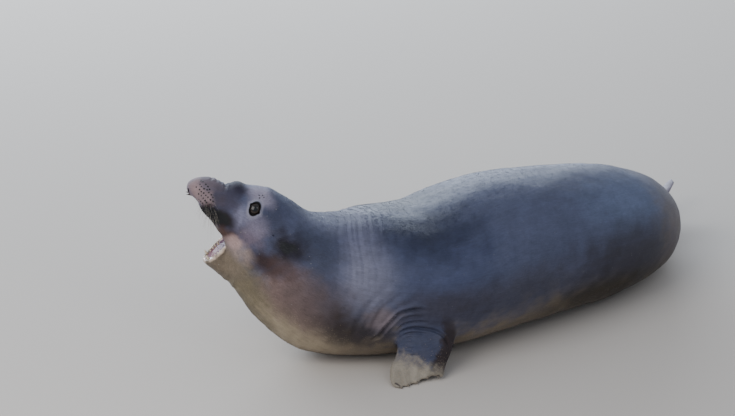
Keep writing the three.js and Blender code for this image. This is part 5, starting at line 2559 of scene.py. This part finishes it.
@dataclass
class Muzzle:
    """The rows of whisker mounds on both pads, the whiskers in them and those over the eyes."""

    counts: tuple[int, ...] = (5, 7, 8, 8, 8, 7, 6)
    step: float = 8.7
    row_gap: float = 11.2
    slope: float = 0.23
    longest: float = 58.0
    mound: float = 2.9
    jitter: float = 1.1
    points: int = 11
    brow: tuple[tuple[float, float, float], ...] = ((198, 112, 62), (207, 114, 58), (203, 104, 70), (214, 108, 66))

    def seats(self) -> list[tuple[Array, int, int, int]]:
        """Places the mounds, before they are set on the skin.

        Returns:
            Place, side, row and column of each.
        """
        out = []
        for side in SIDES:
            for row, count in enumerate(self.counts):
                for column in range(count):
                    t = 22 + 11.5 * max(0, row - 2) + column * self.step + (row % 2) * 3.5
                    b = 46 - self.row_gap * row + self.slope * (50 - t)
                    left = 44 + 0.5 * (t - 30) - 0.0044 * (b + 5) ** 2
                    out.append((HEAD.point(t, b, side * left), side, row, column))
        return out

    def brow_seats(self) -> list[tuple[Array, int, int, int]]:
        """Returns places for the few whiskers over each eye, with a row of -1."""
        brow = list(enumerate(self.brow))
        return [(HEAD.point(t, b, side * left), side, -1, k) for side in SIDES for k, (t, b, left) in brow]

    def build(self, skin: Piece) -> list[Piece]:
        """Builds mounds and whiskers on the skin.

        Args:
            skin: The finished skin.

        Returns:
            The pieces.
        """
        polygons = skin.data.polygons
        tree = BVHTree.FromPolygons(read_points(skin.data).tolist(), [tuple(p.vertices) for p in polygons])
        tones = read_array(skin.data.attributes["tone"].data, "color", 4)
        rng = np.random.default_rng(5)
        places, normals, colours, lines = [], [], [], []
        for seat, side, row, column in self.seats() + self.brow_seats():
            spot, normal, face, _ = tree.find_nearest(Vector(seat + rng.normal(size=3) * self.jitter))
            places.append(np.array(spot))
            normals.append(np.array(normal))
            colours.append(tones[polygons[face].vertices[0]])
            if row < 0:
                length = 20 + 4 * column
            else:
                length = min(5 + 4.5 * row + 1.8 * column * row, self.longest) * rng.uniform(0.8, 1.1)
            lines.append(self.whisker(places[-1], normals[-1], (side, row, column), length, rng))
        return [self.mounds(places, normals, colours), self.hairs(lines)]

    def whisker(
        self, spot: Array, normal: Array, place: tuple[int, int, int], length: float, rng: np.random.Generator
    ) -> Array:
        """Draws one whisker.

        Args:
            spot: Its root.
            normal: Direction out of the skin.
            place: Side, row and column of the mound; a row of -1 is over the eye.
            length: Length in millimetres.
            rng: Source of the draw.

        Returns:
            Points along it.
        """
        side, row, column = place
        lean = HEAD.direction(-0.6, 0.5, side * 0.2)
        if row >= 0:
            lean = HEAD.direction(-0.2 - 0.14 * column, -0.5, side * 0.3)
        aim = unit(normal + 0.75 * lean + rng.normal(size=3) * 0.10)
        sag = HEAD.direction(-0.55, -0.8) * 0.32 - 0.12 * WORLD_UP
        share = np.linspace(0, 1, self.points)[:, None]
        return spot + aim * share * length + sag * share**2 * length * (0.6 + 0.6 * length / self.longest)

    def mounds(self, places: list[Array], normals: list[Array], colours: list[Array]) -> Piece:
        """Builds the mounds with Geometry Nodes.

        Args:
            places: Where they sit.
            normals: Their directions out.
            colours: The coat's colour at each.

        Returns:
            All mounds as one piece.
        """
        rims = np.array([3.4, 3.2, 2.7, 2.1, 1.3, 0.6]) / 3.4
        rise = np.array([-0.5, 0.2, 0.75, 0.7, 0.2, -0.1])
        shape = tube(rise[:, None] * WORLD_UP, rims, 12)
        mesh = bpy.data.meshes.new("mound_shape")
        mesh.from_pydata(shape.points.tolist(), [], shape.faces())
        keep(mesh, "share", np.append(np.repeat(rims, 12), (1, 0.1)))
        source = bpy.data.objects.new("mound_shape", mesh)
        base = bpy.data.meshes.new("mound_seats")
        base.from_pydata(to_model(np.array(places)).tolist(), [], [])
        keep(base, "out", np.array(normals), Store.VECTOR)
        keep(base, "tone", np.array(colours), Store.COLOUR)
        g = Growth("whisker_mounds", {"Size": self.mound * MM})
        one = g.add("GeometryNodeObjectInfo", {"Object": source}, transform_space="ORIGINAL").outputs["Geometry"]
        out = {"Vector": g.stored("out", "FLOAT_VECTOR")}
        turn = g.add("FunctionNodeAlignRotationToVector", out, axis="Z").outputs[0]
        size = g.times(g.given("Size"), g.random(0.8, 1.15, 3))
        many = {"Points": g.start.outputs[0], "Instance": one, "Rotation": turn, "Scale": g.xyz(size, size, MM)}
        g.finish(g.real(g.add("GeometryNodeInstanceOnPoints", many).outputs[0]), MOUND_SKIN.material())
        obj = g.grow("whisker_mounds", base, ("tone", "share"))
        bpy.data.objects.remove(source)
        return marked(obj)

    def hairs(self, lines: list[Array]) -> Piece:
        """Builds the whiskers with Geometry Nodes along their lines.

        Args:
            lines: Points of each whisker.

        Returns:
            All whiskers as one piece.
        """
        count = len(lines[0])
        mesh = bpy.data.meshes.new("whisker_lines")
        edges = [(k * count + i, k * count + i + 1) for k in range(len(lines)) for i in range(count - 1)]
        mesh.from_pydata(to_model(np.concatenate(lines)).tolist(), edges, [])
        share = np.tile(np.linspace(0, 1, count), len(lines))
        lengths = np.repeat([np.linalg.norm(line[-1] - line[0]) for line in lines], count)
        keep(mesh, "share", share)
        keep(mesh, "thick", (0.17 + 0.0025 * lengths) * (1 - 0.82 * share) * MM)
        g = Growth("whiskers", {"Sides": 6})
        curve = g.add("GeometryNodeMeshToCurve", {0: g.start.outputs[0]}).outputs[0]
        curve = g.add("GeometryNodeSetCurveRadius", {0: curve, "Radius": g.stored("thick")}).outputs[0]
        ring = g.add("GeometryNodeCurvePrimitiveCircle", {"Resolution": g.given("Sides"), "Radius": 1.0})
        body = g.add("GeometryNodeCurveToMesh", {0: curve, 1: ring.outputs[0], "Fill Caps": True})
        if "Scale" in body.inputs:
            g.feed(body.inputs["Scale"], g.stored("thick"))
        g.finish(g.real(body.outputs[0]), WHISKER_HORN.material())
        return marked(g.grow("whiskers", mesh, ("share",)))


@dataclass
class Studio:
    """Camera, plain floor and soft light."""

    azimuth: float = -27.0
    elevation: float = 25.0
    distance: float = 20000.0
    frame_width: float = 2352.0
    sensor: float = 36.0
    look_right: float = -104.0
    look_up: float = 421.5
    floor_half: float = 30.0
    floor_colour: tuple[float, ...] = (0.62, 0.57, 0.52, 1)
    sky_colour: tuple[float, ...] = (0.80, 0.88, 1.0, 1)
    sky_strength: float = 0.62

    def directions(self) -> tuple[Array, Array, Array]:
        """Finds the picture's directions.

        Returns:
            Its right, its up and the way back to the camera.
        """
        a, e = math.radians(self.azimuth), math.radians(self.elevation)
        right = np.array([math.cos(a), math.sin(a), 0])
        back = np.array([math.sin(a) * math.cos(e), -math.cos(a) * math.cos(e), math.sin(e)])
        return right, np.cross(back, right), back

    def camera(self) -> None:
        """Places the camera at the picture's angle and distance."""
        right, up, back = self.directions()
        place = self.look_right * right + self.look_up * up + back * self.distance
        data = bpy.data.cameras.new("camera")
        data.lens = self.sensor * self.distance / self.frame_width
        data.sensor_width = self.sensor
        data.sensor_fit = "HORIZONTAL"
        data.clip_end = 200.0
        obj = new_object("camera", data)
        turn = Matrix(np.stack([right, up, back], 1).tolist()).to_4x4()
        obj.matrix_world = Matrix.Translation(Vector(to_model(place).tolist())) @ turn
        bpy.context.scene.camera = obj

    def lamp(self, name: str, place: Array, size: Sequence[float], power: float, colour: Sequence[float]) -> None:
        """Adds one soft lamp that faces the body.

        Args:
            name: Its name.
            place: Where it stands, in metres.
            size: Its width and height in metres.
            power: Its power in watts.
            colour: Red, green and blue of its light.
        """
        data = bpy.data.lights.new(name, "AREA")
        data.shape = "RECTANGLE"
        data.size, data.size_y = size
        data.energy = power
        data.color = colour
        obj = new_object(name, data)
        obj.location = place
        obj.rotation_euler = (Vector((0, 0, 0.25)) - Vector(place)).to_track_quat("-Z", "Y").to_euler()

    def floor(self) -> Piece:
        """Lays the plain pale floor.

        Returns:
            The floor.
        """
        mesh = bpy.data.meshes.new("floor")
        half = self.floor_half
        mesh.from_pydata([(-half, -half, 0), (half, -half, 0), (half, half, 0), (-half, half, 0)], [], [(0, 1, 2, 3)])
        obj = new_object("floor", mesh)
        material, graph, shader = new_material("floor")
        connect(graph, shader, Base_Color=self.floor_colour, Roughness=0.9)
        mesh.materials.append(material)
        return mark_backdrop(obj)

    def world(self) -> None:
        """Lights the scene evenly from all round."""
        world = bpy.data.worlds.new("world")
        world.use_nodes = True
        background = world.node_tree.nodes["Background"]
        background.inputs["Color"].default_value = self.sky_colour
        background.inputs["Strength"].default_value = self.sky_strength
        bpy.context.scene.world = world

    def build(self) -> None:
        """Sets up the whole studio."""
        self.camera()
        self.floor()
        self.world()
        self.lamp("key", (-3.6, -1.6, 3.0), (3.0, 3.0), 95, (1.0, 0.97, 0.93))
        self.lamp("back", (0.5, 5.2, 1.9), (7.0, 2.4), 440, (0.78, 0.88, 1.0))
        self.lamp("strip", (-0.1, -3.1, 3.1), (0.7, 1.2), 8, (1.0, 1.0, 1.0))


def main() -> None:
    """Builds the figure piece by piece."""
    logging.basicConfig(level=logging.INFO, format="%(name)s: %(message)s")
    Studio().build()
    LOG.info("studio set up")
    skin = Skin(PLAN)
    body = skin.build()
    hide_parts(*skin.nodes)
    marked(body, HideFinish().material())
    for side in SIDES:
        Eyeball(PLAN, side).build()
        Claws(PLAN, side).build()
    Tongue(PLAN).build()
    Teeth(PLAN).build()
    Muzzle().build(body)
    for coat in COATS:
        coat.build(body)


if __name__ == "__main__":
    main()
